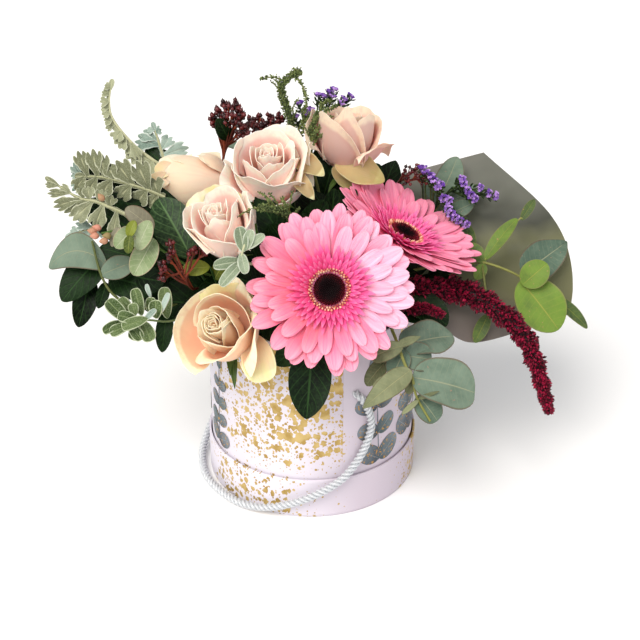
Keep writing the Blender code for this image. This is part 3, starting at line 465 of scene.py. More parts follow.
def rose_paint(name, deep, body, back, rim, guard):
    """A rose's petals: deep within the cup, partly their own colour and partly painted shade there, pale
    outside, cream at the rims, partly their own colour and partly a painted highlight on the rolled edges,
    and greenish on the guards.
    """
    p = Paint(name)
    lines = p.streaks(8.0, 2.0)
    # Partly painted shade: the inside of the cup is deeper towards the root.
    within = p.mixed(p.between(p.along, 0.4, 0.9), deep, body)
    without = p.mixed(p.between(p.along, 0.15, 0.75), body, back)
    flesh = p.mixed(p.under, without, within)
    clouded = p.mixed(p.between(p.noise(13), 0.4, 0.75, 0.0, 0.35), flesh, back)
    # Partly painted highlight: a cream band along the rolled rims and edges.
    start = p.minus(0.95, p.times(p.tint, 0.16))
    along_rim = p.between(p.minus(p.along, start), 0.0, 0.07)
    edge = p.most(along_rim, p.between(p.off_rib, 0.9, 1.0, 0.0, 0.75))
    wavering = p.times(edge, p.between(p.noise(5), 0.25, 0.6, 0.5, 0.95))
    rimmed = p.mixed(wavering, clouded, rim)
    outermost = p.times(p.between(p.tint, 0.92, 1.0), p.between(p.along, 0.3, 1.0, 0.25, 0.85))
    green = p.mixed(p.times(outermost, p.between(p.noise(9), 0.3, 0.6, 0.4, 1.0)), rimmed, guard)
    lined = p.mixed(p.between(lines, 0.52, 0.78, 0, 0.22), green, deep)
    return p.done(lined, 0.55, p.relief(p.plus(lines, p.noise(3)), 0.28, 0.4),
                  Subsurface_Weight=0.4, Subsurface_Radius=(1.0, 0.55, 0.45), Subsurface_Scale=0.003,
                  Sheen_Weight=0.06, Specular_IOR_Level=0.25)


def leaf_paint(name, dark, light, vein, under, rough=0.45, count=6.0, slant=1.2, lines=0.5, mottled=0.5,
               edge=None, rib=0.05, specular=0.3, specks=None):
    """A leaf: clouded colour, a rib and side veins in relief, and a paler underside."""
    p = Paint(name)
    tint = p.plus(p.times(p.tint, 1 - mottled), p.times(p.noise(10, 4), mottled))
    blade = p.mixed(p.between(tint, 0.2, 0.8), dark, light)
    rib_line = p.between(p.off_rib, rib * 1.6, rib * 0.4)
    ribs = p.most(rib_line, p.times(p.veins(count, slant), lines))
    net = p.between(p.noise(2.0, 4), 0.45, 0.6, 0, 0.3)
    netted = p.mixed(p.times(net, lines), blade, vein)
    veined = p.mixed(p.times(ribs, 0.7), netted, vein)
    edged = p.mixed(p.between(p.off_rib, 0.9, 1.0, 0, 0.8), veined, edge) if edge else veined
    spotted = p.mixed(p.between(p.noise(2.2, 1), 0.73, 0.76, 0, 0.7), edged, specks) if specks else edged
    backed = p.mixed(p.times(p.under, 0.8), spotted, under)
    fine = p.noise(1.2)
    height = p.plus(p.times(ribs, -0.7), p.times(fine, 0.4))
    return p.done(backed, p.varied(fine, rough - 0.07, rough + 0.08), p.relief(height, 0.7, 0.4),
                  Specular_IOR_Level=specular)


def felt_paint(name, dark, light, rib, edge, back, edge_from=0.8):
    """A leaf covered in short pale hairs, palest along its ribs and edges, and olive beneath."""
    p = Paint(name)
    tint = p.plus(p.times(p.tint, 0.45), p.times(p.noise(7, 5), 0.55))
    blade = p.mixed(p.between(tint, 0.3, 0.72), dark, light)
    sided = p.mixed(p.times(p.under, 0.8), blade, back)
    ribbed = p.mixed(p.between(p.off_rib, 0.15, 0.03, 0, 0.75), sided, rib)
    rimmed = p.mixed(p.between(p.off_rib, edge_from, 1.0, 0, 0.85), ribbed, edge)
    nap = p.noise(0.6, 4)
    napped = p.mixed(p.between(nap, 0.45, 0.7, 0, 0.3), rimmed, edge)
    return p.done(napped, 0.92, p.relief(nap, 0.8, 0.3), Sheen_Weight=0.12, Specular_IOR_Level=0.1)


def grain_paint(name, dark, light, rough, sheen=0.0, size=3.0, **sockets):
    """Stems, berries and florets: each one tinted by itself, and clouded."""
    p = Paint(name)
    tint = p.plus(p.times(p.tint, 0.7), p.times(p.noise(size, 3), 0.3))
    colour = p.mixed(p.between(tint, 0.15, 0.85), dark, light)
    fine = p.noise(0.7)
    return p.done(colour, p.varied(fine, rough - 0.08, rough + 0.08), p.relief(fine, 0.5, 0.2),
                  Sheen_Weight=sheen, Specular_IOR_Level=0.3, **sockets)


def disc_paint():
    """A gerbera's disc: nearly black in its middle, dark red towards its rim."""
    p = Paint("disc")
    colour = p.ramp(p.tint, (0.0, "#070001"), (0.3, "#22030A"), (0.6, "#5C0C1A"), (1.0, "#A02C40"))
    fine = p.noise(0.6)
    return p.done(colour, p.varied(fine, 0.55, 0.75), p.relief(fine, 0.6, 0.3), Specular_IOR_Level=0.15)


def paper_paint():
    """Satin paper with flecks of gold foil, densest on the left of the front. The paper carries painted light
    and shade: paler on the left, darker from the front towards the right.
    """
    p = Paint("printed_paper")
    x, y, z = p.node("SeparateXYZ", {0: p.place}).outputs
    turn = p.maths("ARCTAN2", x, p.times(y, -1.0))
    round_mm = p.times(turn, BOX_RADIUS)
    high_mm = p.times(z, 1 / MM)

    def patches(size, layer):
        vector = p.joined(round_mm, p.times(high_mm, 0.86), layer * size)
        return p.node("TexNoise", {"Vector": vector, "Scale": 1 / size, "Detail": 1.5, "Roughness": 0.45,
                                   "Distortion": 0.3}).outputs[0]

    lap_mm = math.radians(LAP_TURN) * BOX_RADIUS
    before_lap = p.between(round_mm, lap_mm + 0.3, lap_mm - 0.3)
    left = p.times(p.between(round_mm, -110, -40, 0.1, 1), before_lap)
    far_right = p.times(p.between(round_mm, 58, 84, 0, 0.75), p.between(round_mm, 150, 120))
    near_lap = p.times(p.between(round_mm, lap_mm + 12, lap_mm + 1, 0, 0.4), p.between(high_mm, 80, 60))
    behind = p.between(p.maths("ABSOLUTE", round_mm), 150, 190, 0, 0.7)
    low_wall = p.between(high_mm, 28, 60, 0.15, 1.0)
    sides = p.plus(p.most(far_right, near_lap), behind)
    on_wall = p.times(p.most(left, sides), low_wall)
    lid_left = p.times(p.between(round_mm, -118, -70, 0, 0.8), p.between(round_mm, 30, -34))
    lid_right = p.between(round_mm, 52, 92, 0, 0.9)
    is_lid = p.between(high_mm, LID_HEIGHT + 1.2, LID_HEIGHT + 0.6)
    dense = p.node("Mix", {0: is_lid, 2: on_wall, 3: p.plus(lid_left, lid_right)}).outputs[0]

    def islands(size, layer, crowd, most):
        """Rounded flecks, one to a cell: fewer and smaller where the crowd is low."""
        shifted = p.plus(p.times(high_mm, 0.86), layer * 31.0)
        vector = p.joined(p.plus(round_mm, layer * 17.0), shifted, 0.0)
        cell = p.node("TexVoronoi", {"Vector": vector, "Scale": 1 / size}, voronoi_dimensions="2D")
        lot = p.node("SeparateColor", {0: cell.outputs["Color"]}).outputs[0]
        reach = p.times(p.minus(crowd, lot), most)
        wobble = p.times(p.minus(patches(size * 0.42, layer), 0.5), 0.75)
        return p.maths("GREATER_THAN", p.plus(reach, wobble), cell.outputs["Distance"])

    centre = p.times(p.times(p.between(round_mm, -95, -20, 0.32, 0.84), before_lap), low_wall)
    on_lid = p.times(p.plus(lid_left, p.times(lid_right, 0.85)), is_lid)
    crowd = p.most(p.times(centre, p.minus(1.0, is_lid)), p.times(on_lid, 0.78))
    blobs = islands(8.8, 3.1, crowd, 0.62)
    flecks = islands(5.2, 5.7, p.times(dense, 0.9), 0.64)
    specks = islands(2.5, 9.3, p.times(dense, 0.8), 0.6)
    gold = p.most(p.most(blobs, flecks), specks)
    foil = p.mixed(p.between(p.noise(9), 0.3, 0.7), "#A88A48", "#CEB478")
    # Painted light and shade: the paper is paler on the lit left and darker towards the shaded right, with a
    # random cloud in it.
    lit_to_shaded = p.plus(p.between(round_mm, -30, 60), p.times(p.noise(30), 0.3))
    paper = p.mixed(lit_to_shaded, "#E0DCE6", "#C9BEC9")
    edge_wear = p.times(p.between(high_mm, BOX_TOP - 1.5, BOX_TOP), p.between(p.noise(5), 0.5, 0.6))
    worn = p.mixed(p.times(edge_wear, 0.5), paper, "#CFC6BE")
    colour = p.mixed(gold, worn, foil)
    fibre = p.noise(0.8, 4)
    height = p.plus(p.times(fibre, 0.4), p.times(gold, 0.6))
    rough = p.node("Mix", {0: gold, 2: 0.62, 3: p.varied(p.noise(7), 0.38, 0.52)}).outputs[0]
    return p.done(colour, rough, p.relief(height, 0.12, 0.15), Metallic=p.times(gold, 0.35),
                  Specular_IOR_Level=0.25)


def print_paint():
    """Leaves printed on the paper in washes of grey blue, with gold specks."""
    p = Paint("printed_leaf")
    wash = p.plus(p.times(p.along, 0.5), p.times(p.noise(9, 4), 0.6))
    toned = p.mixed(p.between(wash, 0.25, 0.85), "#434A54", "#7E8790")
    green = p.mixed(p.times(p.tint, 0.35), toned, "#5E7872")
    rib = p.mixed(p.between(p.off_rib, 0.05, 0.0, 0, 0.4), green, "#B9C1C3")
    rimmed = p.mixed(p.between(p.off_rib, 0.85, 1.0, 0, 0.5), rib, "#414C58")
    gold = p.between(p.noise(1.9, 2), 0.61, 0.63)
    return p.done(p.mixed(gold, rimmed, "#C08F3E"), 0.6, p.relief(p.noise(0.8, 4), 0.1, 0.15),
                  Specular_IOR_Level=0.25)


def rope_paint():
    """Silvery white yarn, with fine threads along each strand, and painted shade in the grooves, darker where
    the strands meet.
    """
    p = Paint("twisted_rope")
    threads = p.plus(p.times(p.across, 2.5), p.times(p.along, 160.0))
    line = p.maths("PINGPONG", threads, 0.5)
    fuzz = p.noise(1.1)
    mix = p.plus(p.times(line, 0.9), p.times(fuzz, 0.5))
    colour = p.mixed(p.between(mix, 0.2, 0.7), "#B0B4BA", "#DFE2E5")
    # Painted shade: darker in the grooves where the strands meet.
    groove_shaded = p.mixed(p.between(p.off_rib, 0.45, 0.95, 0, 0.85), colour, "#6F7780")
    return p.done(groove_shaded, 0.42, p.relief(mix, 0.5, 0.25), Metallic=0.15, Specular_IOR_Level=0.5)


def film_paint():
    """Frosted wrap, grey olive, that lets some light through. It carries painted shade, browner and darker
    near the flowers and in a band along its crease, and a painted shadow of a leaf.
    """
    p = Paint("frosted_wrap")
    place = p.plus(p.maths("MULTIPLY_ADD", p.across, 0.5, 0.5), p.times(p.minus(p.noise(45, 2), 0.5), 0.25))
    # Painted shade: the dark stop at 0.72 is a band along the sheet's crease.
    colour = p.ramp(place, (0.05, "#857A76"), (0.26, "#7C716C"), (0.46, "#75744E"), (0.64, "#7A7A58"),
                    (0.72, "#4C4D45"), (0.8, "#6C6D64"), (1.0, "#84817A"))
    streak = p.between(p.noise(26, 2), 0.5, 0.8, 0, 0.3)
    frost_and_shade = p.mixed(streak, colour, "#9A9C90")
    # A painted shadow of a leaf: a soft brown spot.
    leaf_shadow_spot = tuple(seen(136, 30, 12) * MM)
    away = p.node("VectorMath", {0: p.place, 1: leaf_shadow_spot}, operation="DISTANCE").outputs["Value"]
    frost_and_shade = p.mixed(p.between(away, 0.017, 0.003, 0, 0.75), frost_and_shade, "#5C4A30")
    # Painted shade: browner and darker towards the inner edge, near the flowers.
    inner = p.times(p.between(p.along, 0.75, 0.3), p.between(p.noise(30, 1), 0.3, 0.6, 0.5, 1.0))
    shaded = p.mixed(p.times(inner, 0.6), frost_and_shade, "#4A3A2C")
    done = p.done(shaded, p.varied(p.noise(25), 0.35, 0.5), p.relief(p.noise(35, 2), 0.25, 2.0),
                  Specular_IOR_Level=0.35)
    out = next(n for n in p.tree.nodes if n.type == "OUTPUT_MATERIAL")
    glow = p.node("BsdfTranslucent", {"Color": "#8E917C"}).outputs[0]
    lit = p.node("MixShader", {0: 0.3, 1: p.shader.outputs[0], 2: glow}).outputs[0]
    clear = p.node("BsdfTransparent", {"Color": "#D9DBD0"}).outputs[0]
    through = p.node("MixShader", {0: 0.1, 1: lit, 2: clear}).outputs[0]
    p.tree.links.new(through, out.inputs["Surface"])
    return done


def foam_paint():
    """Wet foam: dark green, with fine open pores."""
    p = Paint("wet_foam")
    pores = p.node("TexVoronoi", {"Vector": p.place, "Scale": 900.0}).outputs["Distance"]
    colour = p.mixed(p.between(pores, 0.1, 0.5), "#0C2413", "#1F4A26")
    return p.done(colour, 0.95, p.relief(pores, 0.8, 0.5))


def liner_paint():
    p = Paint("clear_bowl")
    cloud = p.noise(20, 2)
    return p.done(p.mixed(cloud, "#CBD3D2", "#DFE6E5"), p.varied(cloud, 0.12, 0.25),
                  p.relief(cloud, 0.1, 0.3), Transmission_Weight=0.5)


PAPER = paper_paint()
PRINT = print_paint()
ROPE = rope_paint()
FILM = film_paint()
FOAM = foam_paint()
LINER = liner_paint()
# Rays: at the root, on the body, cool for the painted lit side, warm for the painted shaded side and beneath,
# and at the tip
RAYS = ray_paint("gerbera_ray", "#E8468C", "#F88EB0", "#FFE0F8", "#EE7488", "#FFD8E8")
DEEP_RAYS = ray_paint("gerbera_ray_deep", "#DC3C80", "#F48EAE", "#F8A8C4", "#E6748E", "#FCB8CA")
TRANS = ray_paint("gerbera_inner_ray", "#C81E70", "#F4509A", "#F870B4", "#F05A8C", "#FFB6DA")
DISC = disc_paint()
STIGMA = grain_paint("gerbera_stigma", "#D0644C", "#FFD2B0", 0.5, size=1.0)
BRACT = leaf_paint("gerbera_bract", "#3E5A22", "#64813A", "#8AA45A", "#52702F", lines=0.0)
# Petals: deep (partly painted shade in the cup), body, outside, rim (partly painted highlight), and green of
# the guards
ROSE_PINK = rose_paint("rose_blush", "#FCB4A8", "#FFCFC6", "#FFDDD2", "#FFF6E2", "#E0D494")
ROSE_PEARL = rose_paint("rose_pearl", "#F0AE98", "#F4CDB8", "#F4D2B4", "#FAE8CA", "#E6D8A0")
# A darker, duskier copy of the blush rose's paint for the rose on the right: partly its own beige colour,
# partly painted shade for that rose.
ROSE_DUSK_SHADED = rose_paint("rose_dusk_shaded", "#E29A90", "#EAB2A8", "#D6AEA2", "#F2D8BE", "#B9A870")
ROSE_GUARD = rose_paint("rose_guard", "#B4906A", "#C2A478", "#B49C72", "#E8DCAA", "#A09656")
ROSE_CREAM = rose_paint("rose_peach", "#DEA48A", "#EFC2A4", "#F2C8A8", "#FFF0CC", "#E2DC9C")
STEM = grain_paint("green_stem", "#294B1C", "#5C7B35", 0.5)
WOODY = grain_paint("olive_stem", "#4A5428", "#8A8A48", 0.55)
RED_STEM = grain_paint("red_stem", "#4A180E", "#8E4028", 0.5)
# Leaves: dark, light, vein, underside, then roughness, veins, their slant, their strength, mottling, edge,
# rib width, specular and specks
DARK_LEAF = leaf_paint("dark_leaf", "#030A04", "#11280C", "#2C4A22", "#2A4420", 0.45, 6.5, 2.2, 0.55, 0.6,
                       specular=0.12)
MID_LEAF = leaf_paint("mid_leaf", "#0E220C", "#26421E", "#5E7E4C", "#34502A", 0.45, 6.5, 2.2, 0.6, 0.5,
                      specular=0.2)
BACK_LEAF = leaf_paint("leaf_back", "#535A3E", "#858A68", "#94946C", "#6E7454", 0.6, 9.0, 1.0, 0.3, 0.6,
                       "#5A4A34", 0.04, 0.2)
BLUE_LEAF = leaf_paint("blue_leaf", "#4A5F50", "#748674", "#96997C", "#5E6E5E", 0.6, 11.0, 1.0, 0.18, 0.65,
                       "#66513E", 0.03, 0.2, "#9D7D68")
LIGHT_LEAF = leaf_paint("light_leaf", "#3E4E31", "#698533", "#929443", "#607240", 0.55, 10.0, 1.0, 0.22, 0.6,
                        "#7B7B47", 0.03, 0.2, "#9D7B50")
PALE_LEAF = leaf_paint("pale_leaf", "#75895A", "#B1B899", "#BCC3A1", "#929D7A", 0.55, 7.0, 1.3, 0.4, 0.5,
                       "#B49B85", 0.04, 0.2)
DUSK_LEAF = leaf_paint("dusk_leaf", "#6A6654", "#8E8A76", "#A29E82", "#7A7860", 0.55, 7.0, 1.3, 0.3, 0.5,
                       "#6A4838", 0.04, 0.2)
OLIVE_LEAF = leaf_paint("olive_leaf", "#35470E", "#798325", "#949B47", "#526022", 0.45, 6.0, 1.2, 0.4)
# Felted leaves: dark, light, rib, edge, underside, and where the edge starts
FELT = felt_paint("silver_leaf", "#6A6E52", "#999D7E", "#BDBD98", "#CCCFB4", "#70745A", 0.86)
BLUE_FELT = felt_paint("silver_upper", "#6F8478", "#A2B4A8", "#B9C4B6", "#CBD6CC", "#7C8C7E", 0.78)
RIB_FELT = felt_paint("silver_rib", "#9C9E78", "#C0C09A", "#C8C8A4", "#CCCEB2", "#989B74")
TUFT_FELT = felt_paint("tuft_leaf", "#33481E", "#5E7044", "#7C8C5C", "#C0CAA8", "#4C5C34", 0.88)
SPRIG_FELT = felt_paint("sprig_leaf", "#6E7C62", "#98A48A", "#B2BAA0", "#CCD4C0", "#7A8668", 0.84)
# Berries and florets: dark, light, roughness, sheen and size of the clouds
BERRY = grain_paint("berry", "#22070A", "#641E20", 0.34, size=2.0, Coat_Weight=0.15)
PINK_BUD = grain_paint("pink_bud", "#8C7A4E", "#D48C7C", 0.5, size=2.0)
STATICE = grain_paint("statice_floret", "#6A3AA4", "#C8A0E2", 0.65, 0.1, 2.0)
STATICE_GREEN = grain_paint("statice_stem", "#182A14", "#42582C", 0.6)
AMARANTH = grain_paint("amaranth_floret", "#180006", "#A4113C", 0.6)
MOSS = grain_paint("moss_floret", "#34421E", "#7D8B51", 0.8, 0.05, 4.0)


# Shapes that the plants are made of

def outline(t, grow, close):
    """A blade's half-width at t, as a share of its widest."""
    peak = grow / (grow + close)
    most = peak**grow * (1 - peak)**close
    return np.maximum(0.02, np.clip(t, 0, 1)**grow * np.clip(1 - t, 0, 1)**close / most)


def eased(count):
    """Shares from 0 to 1 down a column, closer together at both ends."""
    return ((1 - np.cos(np.linspace(0, math.pi, count))) / 2)[:, None]


def off_middle(count):
    """Shares from -1 to 1 along a row."""
    return np.linspace(-1, 1, count)[None, :]


def blade_axes(root, tip, face):
    """Along a blade, across it, and out of its face."""
    along = tip - root
    side = along.cross(face).normalized()
    return along, side, side.cross(along).normalized()


def laid(root, *terms):
    """A grid of points that start at root. Each term is how far they go, and which way."""
    grid = np.array(root)
    for far, way in terms:
        grid = grid + far[..., None] * np.array(way)
    return grid


def leaf(shape, root, tip, width, face, grow=0.6, close=0.6, arch=0.08, cup=0.15, sway=ZERO, wave=0.04,
         rows=17, cols=9, thick=0.45, look=0, tint=None, fold=0.03, form=None):
    """A leaf from root to tip: arched, cupped, waved at its edges and folded a little along its rib."""
    along, side, lift = blade_axes(at(root), at(tip), towards(face))
    t, s = eased(rows), off_middle(cols)
    half = width / 2 * (outline(t, grow, close) if form is None else form(t))
    bow = 4 * t * (1 - t)
    phase = shape.draw.uniform(0, 6.28)
    twist = shape.draw.uniform(-0.12, 0.12) * bow
    rise = (arch * along.length * bow + cup * half * s * s + twist * half * s
            + wave * width * np.sin(phase + 8 * t + 1.5 * s) * np.abs(s)**2.5 * np.sqrt(bow)
            - fold * width * np.exp(-(s / 0.1)**2) * np.sqrt(bow))
    grid = laid(at(root), (t, along), (s * half, side), (rise, lift), (bow, sway))
    shape.sheet(grid, thick, tint, look, t)


def blunt(t):
    """The half-width of a lobe's finger: a narrow neck, broad from its middle, and a round end."""
    grow = np.clip(t / 0.45, 0, 1)
    end = np.clip((t - 0.66) / 0.34, 0, 1)
    return (0.42 + 0.58 * grow * grow * (3 - 2 * grow)) * np.sqrt(np.maximum(1 - end * end, 0.003))


def lobe(shape, root, tip, width, face, look, tint):
    """A lobe of a cut leaf: one blade, narrow at the rib, that widens to an end cut into round teeth."""
    draw = shape.draw
    along, side, lift = blade_axes(root, tip, face)
    t, s = np.linspace(0, 1, 13)[:, None], off_middle(21)
    teeth = 1 - np.abs(np.cos(math.pi * (s + draw.uniform(-0.12, 0.12)) / 0.74))
    reach = t + t**2 * (0.06 - 0.2 * s * s - 0.24 * teeth * draw.uniform(0.8, 1.2))
    grow = np.clip(t / 0.75, 0, 1)
    notch = 1 - 0.16 * np.exp(-((t - draw.uniform(0.5, 0.62)) / 0.07)**2) * np.abs(s)**2
    half = width / 2 * (0.26 + 0.82 * grow * grow * (3 - 2 * grow)) * notch
    phase = draw.uniform(0, 6.28)
    rise = (0.07 * along.length * 4 * t * (1 - t) + 0.16 * half * s * s
            + 0.06 * width * np.sin(phase + 5 * s + 2 * t) * t**2 - 0.05 * width * np.exp(-(s / 0.12)**2))
    grid = laid(root, (reach, along), (s * half, side), (rise, lift))
    shape.sheet(grid, 0.6, tint, look, t, np.maximum(np.abs(s), t**7))


def cut_leaf(shape, root, tip, width, face, via=(), lobes=(), look=1, web=(0.6, 0.6)):
    """A felted leaf cut nearly to its pale rib, which passes through via. Each lobe is (share of the way
    along the rib, its tip's right and up in the view, width). A web joins the lobes to either side."""
    draw = shape.draw
    face = towards(face)
    line = smooth_route([root, *via, tip], 8)
    tint = draw.random()
    shape.tube(line, [1.3, 0.9, 0.4], 8, tint, 2)
    count = len(line)
    spine = np.array([tuple(point) for point in line])
    side = unit(np.cross(np.gradient(spine, axis=0), np.array(face)))
    ragged = 1 + 0.22 * np.sin(1.9 * np.arange(count) + 6 * tint)
    half = width * (np.linspace(1, 0.4, count) * ragged)[:, None] * np.linspace(-web[0], web[1], 5)[None, :]
    middle = spine[:, None, :] + half[..., None] * side[:, None, :] - np.array(face) * 0.3
    shape.sheet(middle, 0.5, tint, look)
    for share, right, up, wide in lobes:
        place = on_route(line, share)
        away = place - VIEW_MIDDLE
        near = math.sin(VIEW_TILT) * away.z - math.cos(VIEW_TILT) * away.y
        end = seen(right, up, near + draw.uniform(-2, 3))
        lobe(shape, place, end, 1.4 * wide, face, look, held(tint + draw.uniform(-0.25, 0.25)))
    ahead = (line[-1] - line[-3]).normalized()
    leaf(shape, line[-4], line[-1] + ahead * 2, width * 1.3, face, rows=11, cols=7, thick=0.6, look=look,
         tint=tint, form=blunt)


def bud(radius, length, sides, rows):
    """A small closed body on the origin, along +Z, to be copied."""
    one = Shape(1)
    t = np.linspace(0, 1, rows + 1)
    wide = radius * (np.sin(math.pi * t**0.8) * 0.85 + 0.08)
    one.turned(Matrix(), list(zip(wide, t * length)), sides, 0.5)
    return one


def cup(radius, length):
    """A small papery flower with a rim in five waves, along +Z, to be copied."""
    one = Shape(2)
    profile = [(0.25 * radius, 0), (0.35 * radius, 0.5 * length), (radius, length),
               (0.75 * radius, 0.98 * length), (0.12 * radius, 0.55 * length)]
    one.turned(Matrix(), profile, 10, 0.5, ripple=lambda a: 1 + 0.18 * np.cos(5 * a))
    return one


# Box, lid, rope, liner and foam

def round_wall(shape, low, high, radius, lap_turn):
    """A card ring with soft edges and a lapped seam, whose paper turns over the top."""
    inner = radius - CARD
    soft = 0.5
    profile = [(radius, low + soft), (radius, low + 3), (radius, (low + high) / 2), (radius, high - 3),
               (radius, high - soft), (radius - soft * 0.4, high - soft * 0.2), (radius - CARD / 2, high),
               (inner + soft * 0.4, high - soft * 0.2), (inner, high - soft), (inner, high - 3),
               (inner, low + soft), (inner + soft, low), (radius - soft, low)]
    place = Matrix.Rotation(math.radians(lap_turn - 90), 4, "Z")
    shape.turned(place, profile, ROUND_STEPS, 0.5, ring=True, seam=LAP)


def printed_leaf(shape, turn_mm, height, length, width, lean):
    """A leaf printed on the wall: an oval that lies on its curve, a hair above the paper."""
    radius = BOX_RADIUS + LAP + 0.12
    t, s = eased(17), off_middle(5)
    half = width / 2 * outline(t, 0.5, 0.45)
    angle = math.radians(lean)
    x = turn_mm + length * t * math.sin(angle) + half * s * math.cos(angle)
    z = height + length * t * math.cos(angle) - half * s * math.sin(angle)
    turn = x / BOX_RADIUS
    grid = np.stack([radius * np.sin(turn), -radius * np.cos(turn), z], axis=2)
    shape.sheet(grid, 0.06, None, 1, t)


# (way round the wall, height, lean in degrees, pairs of leaves, leaf length) of each printed spray
PRINTED_SPRAYS = (
    (52, 38, -3, 3, 23), (88, 46, 3, 3, 21), (118, 38, 6, 4, 17), (-84, 38, 4, 4, 16), (-128, 44, -8, 4, 17),
    (146, 50, 10, 3, 18), (182, 42, -6, 4, 17), (-168, 60, 10, 3, 16),
)


def make_box():
    shape = Shape("box")
    round_wall(shape, BOX_BASE, BOX_TOP, BOX_RADIUS, LAP_TURN)
    for x, z, lean, count, size in PRINTED_SPRAYS:
        step = size * 0.98
        for i in range(count):
            way = 1 if i % 2 else -1
            for side in (way, -way):
                tilt = lean + side * shape.draw.uniform(50, 66)
                long = size * shape.draw.uniform(0.88, 1.08) * (1 - 0.1 * i)
                printed_leaf(shape, x, z, long, long * 0.78, tilt)
            printed_leaf(shape, x, z - 2, step + 4, 0.9, lean)
            x += step * math.sin(math.radians(lean))
            z += step * math.cos(math.radians(lean))
        printed_leaf(shape, x, z, size * 0.9, size * 0.55, lean)
    made(shape, "box_wall", [PAPER, PRINT])

    shape = Shape("lid")
    round_wall(shape, 0, LID_HEIGHT, LID_RADIUS, LID_LAP_TURN)
    made(shape, "lid_band", [PAPER])


ROPE_END = KNOT_CENTRE + KNOT_RADIUS - 2.6
# (degrees from the front hole, distance from the box's axis, height) of the rope: it goes from the front
# hole, round the left of the lid, to the hole behind
ROPE_PLACES = (
    (0, ROPE_END, CORD_HOLE_HEIGHT), (0, 75.0, CORD_HOLE_HEIGHT), (2, 79.4, 97.0), (6, 79.2, 86.0),
    (8, 79.0, 72.0), (5, 79.0, 57.0), (-1, 79.6, 44.0), (-9, 81.6, 34.0), (-20, 82.6, 25.0),
    (-34, 82.6, 15.0), (-50, 82.8, 6.5), (-68, 83.6, 3.4), (-90, 84.6, 3.2), (-110, 84.0, 3.4),
    (-125, 83.0, 8.0), (-138, 82.2, 18.0), (-149, 81.8, 30.0), (-159, 80.6, 43.0), (-169, 79.4, 57.0),
    (-177, 79.2, 71.0), (-183, 79.2, 85.0), (-181, 79.4, 97.0), (-180, 75.0, CORD_HOLE_HEIGHT),
    (-180, ROPE_END, CORD_HOLE_HEIGHT),
)


def make_rope():
    """Three strands laid round each other, in one mesh along the route."""
    coarse = smooth_route([around(CORD_HOLE_ANGLE + turn, *place) for turn, *place in ROPE_PLACES], 8)
    steps = distances(coarse)
    long = steps[-1]
    count = round(long / ROPE_STEP)
    line = np.array([tuple(p) for p in coarse])
    far = np.linspace(0, long, count)
    route = np.stack([np.interp(far, steps, line[:, k]) for k in range(3)], axis=1)
    radius = CORD_DIAMETER / 2
    strand = radius / (1 + 2 / math.sqrt(3))
    away = 2 * strand / math.sqrt(3)
    third = 2 * math.pi / ROPE_STRANDS

    def off_strand(i, turns):
        turn = turns - 2 * math.pi * far[i] / ROPE_PITCH
        return (turn + third / 2) % third - third / 2

    def section(i, turns):
        off = off_strand(i, turns)
        reach = away * np.cos(off) + np.sqrt(np.maximum(strand**2 - (away * np.sin(off))**2, 0))
        return np.maximum(reach, ROPE_WAIST * radius) / radius

    shape = Shape("rope")
    shape.tube(route, [radius], ROPE_SIDES, 0.5, section=section)
    turns = np.linspace(0, 2 * math.pi, ROPE_SIDES, endpoint=False)
    shape.marks[0] = shape.marks[0].copy()
    shape.marks[0][:, 1] = np.concatenate([off_strand(i, turns) / (third / 2) for i in range(count)])
    rope = made(shape, "handle_cord", [ROPE], sharp=180)


def dress_frame_nodes():
    """The solids that keep their shape get their finish."""
    for node, paint in (("box_floor", PAPER), ("lid_plate", PAPER), ("liner", LINER), ("foam", FOAM),
                        ("handle_knot_front", ROPE), ("handle_knot_back", ROPE)):
        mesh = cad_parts[node].data
        mesh.materials.clear()
        mesh.materials.append(paint)


# The sheet of wrap

FILM_START = -20.0              # degrees from +X, round the rim
FILM_END = 78.0
FILM_FOOT = (69.5, 124.0)       # distance from the box's axis, and height
FILM_CREST = (71.0, 146.0)      # the same, where the sheet leaves the rim
FILM_TUCK = 0.25                # share of the sheet below the crest
FILM_BOW = 5.0
FILM_EDGE = [(88, -8, 36), (109, -16, 28), (150, -6, 14), (179, 4, 2), (184, 42, -10), (170, 80, -24),
             (123, 126, -36), (56, 109, -44)]


def make_film():
    """A sheet of frosted wrap tucked inside the rim on the right, which flares out over it."""
    edge = [*smooth_route(FILM_EDGE[:-1], 6), *smooth_route(FILM_EDGE[-2:], 6)[1:]]
    cols, rows = 71, 31
    grid = np.empty((rows, cols, 3))
    for i in range(rows):
        t = i / (rows - 1)
        for j in range(cols):
            across = j / (cols - 1)
            turn = math.radians(FILM_START + (FILM_END - FILM_START) * across)
            outward = Vector((math.cos(turn), math.sin(turn), 0))
            low, crest = (outward * radius + UP * height for radius, height in (FILM_FOOT, FILM_CREST))
            if t < FILM_TUCK:
                grid[i, j] = low.lerp(crest, t / FILM_TUCK)
            else:
                out = (t - FILM_TUCK) / (1 - FILM_TUCK)
                swell = math.sin(math.pi * out)
                fold = 1.8 * math.sin(9 * across + 2 * out) * swell * out
                crease = 6.0 * math.exp(-abs(across - 0.72) / 0.045) * swell**0.7
                dent = -4.0 * math.exp(-abs(across - 0.36 - 0.1 * out) / 0.07) * swell
                bow = FILM_BOW * swell + fold + crease + dent
                grid[i, j] = crest.lerp(on_route(edge, across), out) + UP * bow
    shape = Shape("film")
    shape.sheet(grid, 0.4, 0.5)
    film = made(shape, "film_sheet", [FILM], sharp=70)


# Blooms

GERBERA_RADIUS = 56.0           # that the rings are drawn for
DISC_FLORETS = 330
STIGMAS = 84
